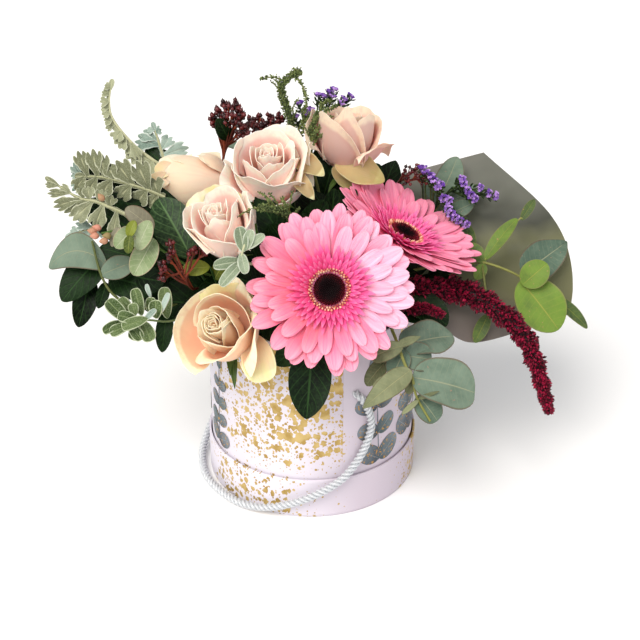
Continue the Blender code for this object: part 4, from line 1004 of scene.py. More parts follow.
# (rays, root radius, tip radius, width, height at the root and at the tip, paint) of each ring, outermost
# first
GERBERA_RINGS = (
    (23, 13.0, 56.0, 12.2, -1.2, -1.0, 0),
    (22, 13.0, 53.0, 11.8, 0.2, 0.8, 0),
    (19, 13.0, 44.0, 9.8, 1.4, 3.2, 0),
    (34, 12.6, 29.5, 4.8, 2.4, 7.4, 1),
    (36, 12.5, 25.0, 4.0, 3.2, 9.4, 1),
    (34, 12.4, 20.5, 3.2, 3.8, 10.2, 1),
    (30, 12.2, 17.0, 2.6, 4.2, 9.0, 1),
)


def polar(angle, reach=1.0, height=0.0):
    return np.array([reach * math.cos(angle), reach * math.sin(angle), height])


def ray(shape, place, angle, root, tip, width, low, high, cupped, look):
    """One strap-shaped ray, with grooves along it and a rounded, notched tip. An inner one is pointed."""
    draw = shape.draw
    inner = look == 1
    tip *= draw.uniform(0.93, 1.03)
    high += draw.uniform(-2.2, 1.2) if inner else draw.uniform(-1.6, 1.6)
    yaw, roll, bend = draw.uniform(-0.05, 0.05), draw.uniform(-0.16, 0.16), draw.uniform(-0.4, 1.2)
    width *= draw.uniform(0.9, 1.1)
    rows, cols = (8, 4) if inner else (15, 9)
    t, s = eased(rows), off_middle(cols)
    if inner:
        end = np.clip(1.012 - t, 0, 1)**0.7
    else:
        end = np.sqrt(np.maximum(1 - (np.clip(t - 0.7, 0, 1) / 0.302)**2, 0.01))
    half = width / 2 * (0.35 + 0.65 * np.sin(math.pi / 2 * np.minimum(t / 0.62, 1))) * end
    half = half / half.max() * width / 2
    length = tip - root
    notch = 0.4 * np.exp(-((np.abs(s) - 0.33) / 0.2)**2) * np.clip((t - 0.9) / 0.1, 0, 1)
    x = root + length * t - notch
    y = s * half + yaw * length * t
    groove = 0.28 * np.cos(3 * math.pi * s) * np.sin(math.pi * t)**0.5
    z = low + (high - low) * t**1.3 + bend * 4 * t * (1 - t) + roll * half * s + groove + 0.2 * half * s * s
    z = z + cupped * (x / GERBERA_RADIUS)**2
    points = put(place @ Matrix.Rotation(angle, 4, "Z"), np.stack([x, y, z], axis=2))
    # Painted light and shade: rays on the upper right of the flower get a low tint, cool and pale as if lit.
    # Rays on the lower left get a high one, warm and deep as if in shade. A random share is added.
    middle = points[rows // 2, cols // 2] - np.array(place.translation)
    middle = middle / max(1.0, np.linalg.norm(middle))
    tint = 0.5 - 0.38 * middle[0] - 0.16 * middle[2] + draw.uniform(-0.2, 0.2)
    shape.sheet(points, 0.35 if inner else 0.5, held(tint), look, t)


def gerbera(name, centre, axis, spin, foot, bend, cupped, sunk=0.0, rays=RAYS):
    """Layers of rays and short inner rays round a dark disc with a ring of stigmas, on a bare stem."""
    centre, axis = at(centre), towards(axis)
    place = frame_at(centre - axis.normalized() * sunk, axis, spin)
    shape = Shape(name)
    draw = shape.draw
    for ring, (count, root, tip, width, low, high, look) in enumerate(GERBERA_RINGS):
        for i in range(count):
            angle = 2 * math.pi * (i + 0.37 * ring) / count + draw.uniform(-0.05, 0.05)
            ray(shape, place, angle, root, tip, width, low, high, cupped, look)
    core = [(11.5, -3.2), (13.0, -2.0), (13.4, 0.0), (12.6, 3.0), (10.4, 3.35)]
    shape.turned(place, core, 32, 0.2, 1)
    made(shape, name + "_petals", [rays, TRANS])

    shape = Shape(name + "_disc")
    draw = shape.draw
    profile = [(10.4, 3.7), (10.4, 4.4), (9.0, 6.2), (6.5, 6.6), (3.5, 5.6), (0.6, 5.0)]
    shape.turned(place, profile, 32, 0.1)
    turn = np.array(place)[:3, :3]
    spots = []
    for i in range(DISC_FLORETS):
        share = (i + 0.5) / DISC_FLORETS
        reach = 10.6 * math.sqrt(share)
        angle = i * GOLDEN_TURN
        height = 5.0 + 1.7 * math.sin(min(1, reach / 8.5) * math.pi / 2)**2 - max(0, reach - 9)
        spots.append((put(place, polar(angle, reach, height)), turn @ polar(angle, 0.1 * reach / 3, 1.0),
                      draw.uniform(0.8, 1.2), held(share + draw.uniform(-0.15, 0.15))))
    shape.copies(bud(0.42, 2.0, 5, 3), spots)
    spots = []
    for i in range(STIGMAS):
        angle = 2 * math.pi * i / STIGMAS
        reach = 11.2 + (1.5 if i % 2 else 0) + draw.uniform(-0.4, 0.4)
        spots.append((put(place, polar(angle, reach, 5.0)), turn @ polar(angle, 0.35, 1.0),
                      draw.uniform(0.8, 1.15), draw.random()))
    shape.copies(bud(0.78, 3.8, 6, 4), spots, 1)
    made(shape, name + "_disc", [DISC, STIGMA])

    shape = Shape(name + "_stem")
    neck = centre - axis * 4
    shape.tube(stem_route(foot, [bend, neck - axis * 16, neck - axis * 6]), [2.4, 2.4, 2.2, 2.6], 12)
    bowl = [(2.6, 0), (3.4, 1), (7.5, 4.5), (10.6, 8.8), (9.0, 9.2)]
    shape.turned(frame_at(neck - axis * 9, axis), bowl, 24)
    for ring, (count, reach) in enumerate(((16, 8.0), (16, 10.5), (14, 12.0))):
        for i in range(count):
            out = Vector(turn @ polar(2 * math.pi * (i + 0.5 * ring) / count))
            root = neck - axis * (7.5 - 2 * ring) + out * (3.5 + 1.6 * ring)
            leaf(shape, root, root + out * (reach - 3 - ring) + axis * (6 - ring), 2.6, out * -1 + axis,
                 rows=7, cols=3, thick=0.4, look=1)
    made(shape, name + "_stem", [STEM, BRACT])


# (petals, belly and lip radius as shares of the rim, height, half angle in degrees) of each inner layer
HEART_OPEN = ((2, 0.12, 0.05, 0.95, 165), (3, 0.22, 0.15, 0.98, 122), (3, 0.36, 0.28, 1.0, 108))
HEART_TIGHT = ((2, 0.07, 0.02, 0.97, 165), (3, 0.13, 0.07, 1.0, 125), (3, 0.21, 0.14, 1.01, 115),
               (3, 0.29, 0.22, 0.99, 100))
HEART_BUD = ((2, 0.16, 0.06, 0.9, 165), (3, 0.32, 0.2, 0.92, 125), (3, 0.5, 0.36, 0.93, 112))


def rose_petal(shape, place, turn, half_angle, belly, lip, height, root, curl, fall, skew, tuck, tint,
               rows=21, cols=25):
    """One petal, wrapped round its rose's axis. It swells from its root, leans in towards its rim, and
    curls out there. The rim falls towards both sides, and a skew makes it climb to one of them."""
    draw = shape.draw
    t, s = (1 - (1 - np.linspace(0, 1, rows))**1.4)[:, None], off_middle(cols)
    side = np.abs(s)
    point = draw.uniform(0.0, 0.03)
    ragged = 0.01 * np.sin(9 * s + draw.uniform(0, 6.28)) + 0.006 * np.sin(23 * s + draw.uniform(0, 6.28))
    edge = 1 - point - fall * side**2.2 - 0.1 * side**8 + point * np.exp(-(s / 0.16)**2) + skew * s + ragged
    reach = t * edge
    ring = belly * (0.15 * (1 - reach)**2 + 2.2 * reach * (1 - reach)) + lip * reach * np.abs(reach)
    rise = root + (height - root) * (0.62 * reach * (1 - reach) + reach**2)
    over = np.clip((t - 0.74) / 0.26, 0, 1) * (0.85 + 0.5 * side**1.5)
    bent = max(curl, 0.02) * draw.uniform(0.9, 1.1)
    long = 0.24 * height
    ring = ring + long / bent * (1 - np.cos(bent * over))
    rise = rise + long / bent * np.sin(bent * over) - long * over
    phase, phase2 = draw.uniform(0, 6.28), draw.uniform(0, 6.28)
    wave = (0.02 * np.sin(3.3 * s + phase) + 0.012 * np.sin(8 * s + phase2)) * t**3 * (1 + 1.5 * curl)
    ring = ring * (1 + tuck * s * t + wave)
    rise = rise + height * (0.014 * np.sin(3.7 * s + phase2) + 0.008 * np.sin(11 * s + phase)) * t**4
    angle = turn + s * half_angle * (0.4 + 0.6 * np.sin(np.minimum(t * 1.35, 1) * math.pi / 2))
    points = np.stack([ring * np.cos(angle), ring * np.sin(angle), rise], axis=2)
    shape.sheet(put(place, points), 0.45, tint, 0, t)


def rose(name, base, axis, rim, height, foot, bend, paint, slot, heart, petals, loose=(), sepals=()):
    """Petals in layers round a tight heart, over sepals and a leafless stem. Each outer petal is (the
    way it faces, half angle in degrees, belly, lip, height, curl, fall, tint), and a skew may follow.
    Belly and lip are shares of the rim, and height is a share of the bloom's. Loose petals and sepals
    are (root, tip, width), and a loose petal may add how its form differs."""
    base, axis = at(base), towards(axis)
    place = frame_at(base, axis)
    shape = Shape(name)
    draw = shape.draw
    start = 0.0
    for ring, (count, belly, lip, tall, spread) in enumerate(heart):
        start += GOLDEN_TURN
        for i in range(count):
            turn = start + 2 * math.pi * i / count + draw.uniform(-0.15, 0.15)
            vary = draw.uniform(0.95, 1.05)
            rose_petal(shape, place, turn, math.radians(spread), rim * belly * vary, rim * lip * vary,
                       height * tall * draw.uniform(0.98, 1.01), height * 0.14, 0.25, 0.12, 0.0, 0.22,
                       0.1 + 0.1 * ring, 17, 21)
    for way, spread, belly, lip, tall, curl, fall, tint, *skew in petals:
        local = place.to_3x3().inverted() @ facing(*way)
        rose_petal(shape, place, math.atan2(local.y, local.x), math.radians(spread), rim * belly, rim * lip,
                   height * tall, height * 0.05, curl, fall, sum(skew), 0.06, tint)
    for root, tip, wide, *form in loose:
        form = {"close": 0.28, "wave": 0.05, "tint": 1.0, **(form[0] if form else {})}
        leaf(shape, root, tip, wide, OUT, 0.45, arch=0.12, cup=0.35, rows=21, cols=19, fold=0.0, **form)
    made(shape, name + "_bloom", [paint, ROSE_GUARD])

    shape = Shape(name + "_stem")
    neck = base + axis * (0.03 * height - GAP)
    shape.tube(stem_route(foot, [bend, neck - axis * 13, neck - axis * 5]), [2.0, 2.0, 2.2], 10)
    swelling = [(2.0, 0), (3.4, 1.2), (4.6, 4.0), (5.0, 6.8), (4.0, 9.2)]
    shape.turned(frame_at(neck - axis * 9.5, axis), swelling, 18)
    for i in range(5):
        out = place.to_3x3() @ Vector(polar(2 * math.pi * (i + 0.3) / 5))
        root = neck - axis * 4 + out * 3.4
        leaf(shape, root, root + out * 13 - axis * 9, 4.6, axis, 0.3, 0.9, 0.1, 0.3, rows=13, cols=5, look=1)
    for root, tip, wide in sepals:
        leaf(shape, root, tip, wide, OUT, 0.4, 0.9, rows=13, cols=5, look=1)
    made(shape, name + "_stem", [STEM, BRACT])


# The outer petals of each rose, from the inside out
TOP_PETALS = (
    ((0.9, 0.3, 0), 80, 0.52, 0.42, 1.0, 0.4, 0.3, 0.3),
    ((-0.9, 0.2, 0), 85, 0.54, 0.46, 0.99, 0.3, 0.3, 0.3),
    ((0.1, -1, 0), 76, 0.6, 0.5, 0.97, 0.2, 0.34, 0.4, 0.1),
    ((1, 0.1, 0), 75, 0.74, 0.62, 1.03, 1.1, 0.3, 0.6),
    ((-0.6, -0.8, 0), 76, 0.8, 0.66, 0.97, 0.3, 0.38, 0.5),
    ((-0.1, 1, 0), 88, 0.84, 0.8, 1.02, 0.5, 0.18, 0.5),
    ((0.7, -0.7, 0), 80, 0.92, 0.76, 0.99, 0.5, 0.44, 0.6, -0.05),
    ((-1, 0.4, 0), 82, 0.98, 0.92, 0.98, 0.6, 0.25, 0.6),
    ((0.7, 0.8, 0), 76, 1.02, 1.02, 1.04, 0.8, 0.2, 0.7),
    ((-0.25, -1, 0), 92, 1.08, 0.98, 0.93, 0.7, 0.22, 0.75, -0.03),
    ((0.6, -0.9, 0), 40, 1.1, 1.08, 0.56, 0.8, 0.3, 0.85),
    ((-1, -0.2, 0), 38, 1.1, 1.18, 0.88, 1.5, 0.3, 0.9),
    ((1, 0.4, 0), 30, 1.12, 1.14, 0.92, 1.0, 0.3, 0.95),
)
MID_PETALS = (
    ((-0.9, -0.2, 0), 84, 0.52, 0.42, 1.0, 0.3, 0.3, 0.3),
    ((0.9, 0.2, 0), 85, 0.58, 0.46, 1.0, 0.4, 0.36, 0.3),
    ((0.3, -1, 0), 78, 0.66, 0.54, 0.98, 0.2, 0.4, 0.4),
    ((-1, 0.3, 0), 86, 0.8, 0.68, 1.0, 0.5, 0.3, 0.5),
    ((1, -0.3, 0), 82, 0.86, 0.74, 1.01, 0.6, 0.46, 0.6),
    ((-0.9, 0.1, 0), 74, 1.0, 1.0, 0.97, 0.6, 0.2, 0.6),
    ((-0.4, -1, 0), 84, 1.02, 0.94, 0.94, 0.9, 0.3, 0.75),
    ((0.2, 1, 0), 80, 1.02, 0.96, 1.0, 0.5, 0.2, 0.6),
    ((1, -0.3, 0), 46, 1.08, 1.24, 0.88, 0.8, 0.4, 0.9),
    ((-0.35, 1, 0), 56, 1.08, 1.16, 1.0, 0.8, 0.2, 1.0),
    ((0.8, 0.6, 0), 40, 1.08, 1.14, 0.92, 0.9, 0.3, 0.9),
)
LOW_PETALS = (
    ((-0.8, 0.5, 0), 80, 0.36, 0.26, 1.04, 1.1, 0.46, 0.8),
    ((0.9, -0.2, 0), 88, 0.42, 0.24, 1.02, 0.4, 0.46, 0.6),
    ((0.6, 1, 0), 95, 0.62, 0.34, 0.99, 0.4, 0.3, 0.5),
    ((-0.3, -1, 0), 84, 0.6, 0.4, 0.96, 0.5, 0.4, 0.6),
    ((0.1, 1, 0), 84, 0.86, 0.7, 0.93, 0.3, 0.25, 0.4),
    ((0.55, -0.85, 0), 96, 0.9, 0.62, 0.92, 1.4, 0.3, 0.9, 0.1),
    ((0.95, 0.35, 0), 86, 1.04, 0.9, 0.9, 1.7, 0.26, 0.9),
    ((-1, 0.4, 0), 74, 1.02, 1.2, 0.66, 0.3, 0.16, 0.85),
    ((-0.1, 1, 0), 46, 0.95, 1.04, 0.78, 1.0, 0.3, 1.0),
)
LEFT_PETALS = (
    ((0, -0.6, -0.8), 80, 0.84, 0.8, 1.0, 0.3, 0.25, 0.6),
    ((0, 1, -0.4), 70, 0.9, 0.86, 1.02, 0.5, 0.2, 0.7),
    ((0, 0.1, -1), 64, 0.92, 1.0, 1.16, 0.5, 0.2, 0.75),
    ((0, -0.8, -0.2), 42, 0.96, 1.0, 1.18, 1.2, 0.3, 0.85),
    ((0, 0.1, 1), 104, 1.06, 0.96, 0.97, 0.1, 0.06, 0.78),
    ((0, 1, 0.3), 36, 1.1, 1.02, 0.46, 0.6, 0.3, 0.9),
)
RIGHT_PETALS = (
    ((-0.6, 0, -0.8), 85, 0.74, 0.62, 0.98, 0.5, 0.3, 0.5),
    ((0.9, 0, 0.5), 90, 0.84, 0.62, 1.0, 0.2, 0.2, 0.45),
    ((-0.1, 0, 0.9), 50, 0.88, 0.66, 1.1, 0.6, 0.6, 0.75),
    ((0.5, 0, -0.9), 80, 0.92, 0.8, 0.98, 0.6, 0.3, 0.6),
    ((-0.9, 0, 0.7), 86, 0.98, 0.84, 0.98, 0.5, 0.5, 0.75),
    ((-1, 0, -0.3), 52, 1.02, 0.98, 0.9, 0.8, 0.3, 0.9),
    ((1, 0, 0.5), 46, 0.98, 0.98, 0.66, 1.9, 0.16, 0.85),
)


def make_blooms():
    gerbera("gerbera_front", (6, 20, 99), (0.02, 0.0, 1), 5.0, (8, -38), (4, 10, 62), 3.0)
    gerbera("gerbera_back", (59, 60, 30), (0.43, 0.76, 0.49), 0.0, (36, 0), (50, 42, 18), 15.0, 4.0,
            DEEP_RAYS)
    pink, peach = (ROSE_PINK, "rose_petal"), (ROSE_CREAM, "rose_petal_cream")
    rose("rose_top", (-34, 84, 17), (-0.05, 0.66, 0.75), 23.0, 50.0, (-14, 6), (-26, 55, 8), *pink,
         HEART_OPEN, TOP_PETALS,
         (((-16, 112, 40), (3, 100, 46), 15, {"look": 1, "close": 0.7, "wave": 0.12, "tint": 0.95}),
          ((-19, 101, 44), (-4, 83, 50), 12, {"look": 1, "close": 0.8, "wave": 0.12, "tint": 0.6})))
    rose("rose_right", (16, 106, 4), (0.12, 0.93, 0.34), 26.0, 47.0, (12, 24), (10, 70, -4), ROSE_DUSK_SHADED,
         "rose_petal", HEART_BUD, RIGHT_PETALS,
         (((11, 112, 18), (46, 99, 16), 21, {"look": 1, "close": 0.62, "wave": 0.16}),
          ((10, 110, 14), (26, 92, 14), 14, {"look": 1, "close": 0.6, "wave": 0.1})))
    rose("rose_mid", (-58, 42, 60), (-0.28, 0.68, 0.67), 18.5, 48.0, (-26, -16), (-50, 20, 38), *pink,
         HEART_OPEN, MID_PETALS)
    rose("rose_left", (-63, 97, 18), (-0.95, 0.03, -0.3), 20.0, 52.0, (-34, 8), (-46, 58, -2), ROSE_PEARL,
         "rose_petal_cream", HEART_BUD, LEFT_PETALS,
         (((-106, 102, 22), (-122, 93, 26), 13), ((-104, 110, 20), (-116, 103, 22), 12)))
    rose("rose_low", (-56, -15, 62), (-0.34, 0.3, 0.89), 27.5, 44.0, (-26, -38), Vector((-38, -34, 160)),
         *peach, HEART_TIGHT, LOW_PETALS, (((-46, -10, 80), (-37, -41, 86), 22),),
         (((-60, -18, 56), (-58, -47, 62), 6), ((-62, -18, 56), (-61, -38, 64), 5)))


# Foliage

def stemmed(name, foot, places, radii, tint=None):
    """A new shape with its stem, its random draws, and the stem's route."""
    shape = Shape(name)
    route = stem_route(foot, places)
    shape.tube(route, radii, 8, tint)
    return shape, shape.draw, route


def leafy_stem(name, slot, paints, foot, places, leaves, radius=1.3, twigs=(), buds=(), make=leaf, **form):
    """A stem from its hole in the foam through the given places. Each leaf is (root, tip, width, face) and
    its own form, and its root is a place or a share of the way along the stem."""
    shape, _, route = stemmed(name, foot, places, [radius, radius * 0.6])
    for points, thick in twigs:
        shape.tube(smooth_route(points, 5), [thick, thick * 0.7], 6)
    for root, tip, width, face, *more in leaves:
        root = on_route(route, root) if isinstance(root, float) else root
        make(shape, root, tip, width, face, **{"look": 1, **form, **(more[0] if more else {})})
    if buds:
        shape.copies(bud(2.6, 6.5, 10, 8), [(at(place), at(place) - route[-1], 1.0) for place in buds], 2)
    made(shape, name, paints)


def make_eucalyptus():
    """The eucalyptus, and the laurel that stands among its stems at the far left."""
    blue = [WOODY, BLUE_LEAF]
    leafy_stem("eucalyptus_low", "blue_leaf", [WOODY, BLUE_LEAF, BACK_LEAF], (30, -40),
               [(44, 2, 60), (49, -8, 73), (53, -20, 84), (57, -31, 87), (61, -38, 88), (64, -51, 88),
                (73, -67, 88)],
               [((61, -38, 86), (104, -49, 74), 36, (-0.1, 0.5, 1),
                 {"grow": 0.42, "close": 0.38, "tint": 0.75, "wave": 0.05}),
                ((60, -33, 90), (28, -58, 97), 16, (0.2, 0.5, 1), {"look": 2, "close": 0.85, "tint": 0.6}),
                ((55, -17, 88), (34, -25, 84), 13, (0, 0.2, 1),
                 {"look": 2, "close": 0.35, "tint": 0.45, "arch": 0.16}),
                ((51, -17, 88), (67, -11, 84), 6, OUT, {"look": 2, "close": 0.9, "tint": 0.5}),
                ((54, -18, 70), (91, -11, 58), 28, (0, 0.6, 1),
                 {"wave": 0.1, "grow": 0.4, "close": 0.5, "tint": 0.5}),
                ((56, -24, 80), (75, -27, 74), 22, (0.2, 0.4, 1), {"tint": 0.6, "wave": 0.08}),
                ((57, -20, 80), (48, -38, 82), 16, (-0.2, 0.2, 1), {"tint": 0.35}),
                ((46, -26, 76), (31, -44, 74), 12, (-0.3, 0.3, 1), {"look": 2, "tint": 0.0}),
                ((43, -38, 84), (36, -47, 82), 7, OUT, {"look": 2, "tint": 0.7}),
                ((62, -40, 84), (58, -49, 84), 7, OUT, {"look": 2, "tint": 0.4}),
                ((65, -50, 86), (78, -67, 84), 18, (0.1, 0.2, 1), {"grow": 0.4, "close": 0.4, "tint": 0.3}),
                ((65, -53, 90), (54, -62, 92), 4, OUT, {"look": 2, "tint": 0.9}),
                ((65, -52, 92), (79, -47, 90), 3, OUT, {"look": 2, "close": 0.9, "tint": 0.1})],
               grow=0.5, close=0.5)
    leafy_stem("eucalyptus_right", "light_leaf", [WOODY, LIGHT_LEAF, BLUE_LEAF], (53, 4),
               [Vector((68, 4, 156)), (88, 40, 4), (104, 40, 8), (118, 41, 14), (143, 31, 15), (150, 20, 14)],
               [((118, 41, 14), (106, 55, 6), 11, OUT, {"tint": 0.3}),
                ((118, 40, 14), (111, 29, 16), 9, OUT, {"tint": 0.5}),
                (0.6, (108, 70, -14), 12, OUT, {"tint": 0.0}),
                ((118, 43, 14), (142, 73, 8), 11, (-0.4, 0.2, 1), {"tint": 0.7}),
                ((145, 72, 7), (155, 87, 5), 7, OUT, {"tint": 0.1}),
                ((145, 33, 16), (180, 57, -4), 27, (0.1, 0.2, 1),
                 {"tint": 0.0, "wave": 0.09, "grow": 0.4, "close": 0.85, "look": 2}),
                ((144, 25, 20), (161, 40, 24), 20, OUT, {"tint": 0.95}),
                ((143, 28, 16), (170, -7, 18), 34, OUT, {"tint": 1.0}),
                ((162, 20, 4), (194, -6, 0), 11, (0.3, 0.5, 1), {"tint": 0.1}),
                ((119, 4, 26), (109, -16, 29), 10, OUT, {"tint": 0.2})],
               twigs=[([(116, 41, 13), (117, 25, 22), (119, 3, 26)], 0.9),
                      ([(118, 43, 14), (142, 71, 8), (146, 73, 7)], 0.7)], grow=0.55, close=0.55)
    leafy_stem("eucalyptus_top_right", "blue_leaf", blue, (40, 18),
               [Vector((60, 42, 164)), (84, 80, -27), (93, 98, -24)],
               [((88, 90, -26), (102, 121, -22), 21, (0.3, 0.1, 1)), ((96, 88, -22), (121, 98, -18), 12, OUT),
                ((92, 76, -14), (113, 86, -10), 13, OUT), (0.85, (76, 112, -26), 15, OUT)])
    leafy_stem("eucalyptus_left", "blue_leaf", blue, (-52, -14),
               [(-84, 14, 36), (-118, 8, 54), (-138, 15, 62), (-149, 30, 60), (-156, 54, 57)],
               [((-146, 37, 54), (-187, 37, 50), 25, (0.1, 0.2, 1), {"sway": facing(0, 1, 0) * 10}),
                (0.84, (-126, 40, 56), 16, OUT)], grow=0.55, close=0.6)
    leafy_stem("laurel_far_left", "dark_leaf", [STEM, DARK_LEAF], (-55, 0),
               [Vector((-80, -4, 158)), (-112, 22, 40), (-134, 32, 44), (-146, 42, 44)],
               [((-149, 46, 44), (-178, 13, 50), 25, (-0.2, 0.1, 1), {"tint": 0.8}),
                ((-160, 30, 42), (-167, -5, 48), 17, (0.3, 0, 1), {"tint": 0.1}),
                ((-148, 26, 46), (-153, 8, 50), 9, (0.3, 0, 1), {"tint": 0.4}),
                (0.6, (-112, 50, 44), 16, OUT), (0.8, (-106, 26, 60), 24, (0.1, -0.2, 1)),
                ((-146, 30, 44), (-112, 20, 52), 25, (0, 0.2, 1), {"tint": 0.8}),
                ((-104, 6, 62), (-107, -22, 66), 12, OUT, {"tint": 0.9})], grow=0.5, close=0.6)
    leafy_stem("eucalyptus_back", "blue_leaf", blue, (-8, 50),
               [Vector((-16, 76, 176)), Vector((-26, 100, 190)), Vector((-38, 122, 196))],
               [(0.56, Vector((-2, 112, 204)), 24, UP), (0.66, Vector((-52, 96, 210)), 24, UP),
                (0.78, Vector((-16, 144, 200)), 24, UP), (0.89, Vector((-68, 126, 204)), 22, UP),
                (1.0, Vector((-52, 150, 192)), 20, UP)], grow=0.5, close=0.5)


# (root, tip, width, paint) of each leaf of the tuft
TUFT_LEAVES = (
    ((-119, 3, 78), (-124, 21, 78), 8, 1),
    ((-103, 1, 70), (-105, 22, 70), 9, 1),
    ((-114, 5, 76), (-113, 15, 76), 7, 1),
    ((-109, 1, 80), (-110, 13, 80), 9, 1),
    ((-114, 15, 72), (-117, 24, 72), 3, 2),
    ((-106, 5, 80), (-101, 18, 80), 4, 2),
    ((-117, -1, 86), (-109, 7, 86), 4, 2),
    ((-128, -1, 80), (-142, 13, 80), 10, 1),
    ((-126, 4, 76), (-135, 14, 76), 9, 1),
    ((-123, 3, 82), (-125, 11, 82), 7, 1),
    ((-132, -1, 78), (-145, -8, 78), 7, 1),
    ((-126, -3, 80), (-140, -9, 80), 8, 1),
    ((-127, -3, 82), (-119, -13, 82), 8, 1),
    ((-118, -1, 80), (-113, -14, 80), 10, 1),
    ((-114, 1, 88), (-131, -5, 88), 8, 1),
    ((-121, 0, 86), (-134, 3, 86), 8, 1),
    ((-119, 0, 78), (-126, -13, 78), 8, 1),
)

# (share of the way along the rib, the tip's right and up, width) of each lobe of the silver leaves
BROAD_LOBES = (
    (0.1, -117, 99, 9), (0.24, -128, 110, 10), (0.42, -142, 110, 10), (0.56, -148, 107, 7),
    (0.66, -152, 115, 7), (0.74, -158, 118, 8), (0.86, -168, 117, 7), (0.12, -119, 79, 9),
    (0.28, -128, 82, 9), (0.44, -140, 85, 9), (0.6, -151, 87, 8), (0.75, -162, 87, 8),
    (0.9, -170, 91, 7),
)
LOW_LOBES = (
    (0.2, -143, 85, 6), (0.32, -149, 89, 6), (0.46, -159, 91, 6), (0.58, -164, 91, 5),
    (0.74, -178, 92, 4), (0.12, -143, 56, 6), (0.26, -155, 64, 8), (0.4, -169, 69, 8),
    (0.52, -175, 74, 7), (0.62, -182, 78, 6), (0.76, -186, 87, 4), (0.88, -188, 93, 3),
)
HIGH_LOBES = (
    (0.04, -122, 104, 10), (0.1, -126, 109, 10), (0.2, -137, 114, 10), (0.26, -141, 121, 8),
    (0.34, -146, 125, 8), (0.4, -148, 130, 7), (0.47, -155, 139, 5), (0.52, -155, 142, 4),
    (0.6, -157, 148, 5), (0.68, -158, 152, 4), (0.76, -158, 157, 5), (0.84, -157, 164, 4),
    (0.92, -155, 169, 4), (0.3, -131, 117, 5), (0.06, -106, 104, 8),
)
BACK_LOBES = (
    (0.02, -102, 120, 8), (0.14, -97, 126, 8), (0.3, -109, 134, 7), (0.42, -135, 131, 9),
    (0.58, -131, 136, 7), (0.78, -116, 139, 5), (0.85, -126, 138, 4),
)
SMALL_LOBES = (
    (0.1, -155, 57, 6), (0.35, -162, 57, 6), (0.3, -169, 67, 6), (0.7, -173, 62, 5),
)
END_LOBES = (
    (0.2, -166, 112, 5), (0.5, -173, 110, 6), (0.75, -175, 101, 5), (0.3, -174, 91, 6),
)


def make_silver_leaves():
    felt, tuft_felt = [RIB_FELT, FELT, RIB_FELT, BLUE_FELT], [TUFT_FELT, TUFT_FELT, BLUE_FELT]
    leafy_stem("dusty_miller_left", "silver_leaf", felt, (-52, 4),
               [(-70, 40, 24), (-92, 58, 38), (-112, 64, 46)],
               [((-162, 97, 30), (-172, 104, 30), 3, OUT, {"lobes": END_LOBES, "look": 3}),
                ((-109, 86, 34), (-169, 100, 40), 4, (0, 0.1, 1),
                 {"via": [(-124, 92, 38), (-150, 99, 42)], "lobes": BROAD_LOBES}),
                ((-151, 67, 44), (-175, 58, 44), 3, OUT, {"lobes": SMALL_LOBES, "look": 3}),
                ((-132, 72, 50), (-187, 97, 54), 3, (0.2, -0.1, 1),
                 {"via": [(-153, 81, 54), (-166, 84, 56)], "lobes": LOW_LOBES})],
               twigs=[([(-92, 58, 38), (-102, 76, 36), (-109, 86, 34)], 1.1),
                      ([(-112, 64, 46), (-132, 72, 50)], 1.1)], make=cut_leaf)
    leafy_stem("dusty_miller_top", "silver_leaf", felt, (-38, 26), [(-76, 78, -14), (-100, 100, -6)],
               [((-114, 117, -10), (-122, 143, -8), 3, OUT,
                 {"via": [(-118, 130, -8)], "lobes": BACK_LOBES, "look": 3}),
                ((-114, 111, -4), (-150, 172, 6), 3, OUT,
                 {"via": [(-134, 126, 0), (-149, 144, 4), (-152, 157, 6)], "lobes": HIGH_LOBES,
                  "web": (1.7, 0.2)})],
               twigs=[([(-100, 100, -6), (-114, 117, -10)], 1.1)], make=cut_leaf)
    leafy_stem("silver_sprig", "silver_leaf", [RIB_FELT, SPRIG_FELT], (-14, -28),
               [(-28, 24, 56), (-40, 36, 86), (-50, 37, 104), (-50, 44, 112), (-47, 52, 113)],
               [((-50, 38, 108), (-69, 35, 106), 8, OUT), ((-50, 38, 108), (-64, 22, 112), 8, OUT),
                ((-51, 43, 110), (-48, 30, 112), 7, OUT),
                ((-49, 44, 112), (-52, 60, 112), 9, OUT, {"wave": 0.12}),
                ((-47, 46, 112), (-36, 55, 112), 6, OUT), ((-48, 45, 111), (-44, 58, 114), 7, OUT)],
               twigs=[([(-47, 52, 113), (-47, 46, 112)], 0.8)], radius=1.1, grow=0.5, close=0.35, thick=0.8,
               cup=0.3, wave=0.09, fold=0.05)
    leafy_stem("silver_tuft", "silver_leaf", tuft_felt, (-47, -20),
               [Vector((-66, -32, 153)), (-98, 0, 64), (-116, 0, 76)],
               [(root, tip, width, OUT, {"look": look}) for root, tip, width, look in TUFT_LEAVES],
               radius=1.2, grow=0.55, close=0.3, thick=0.8, cup=0.35, wave=0.07, fold=0.06)


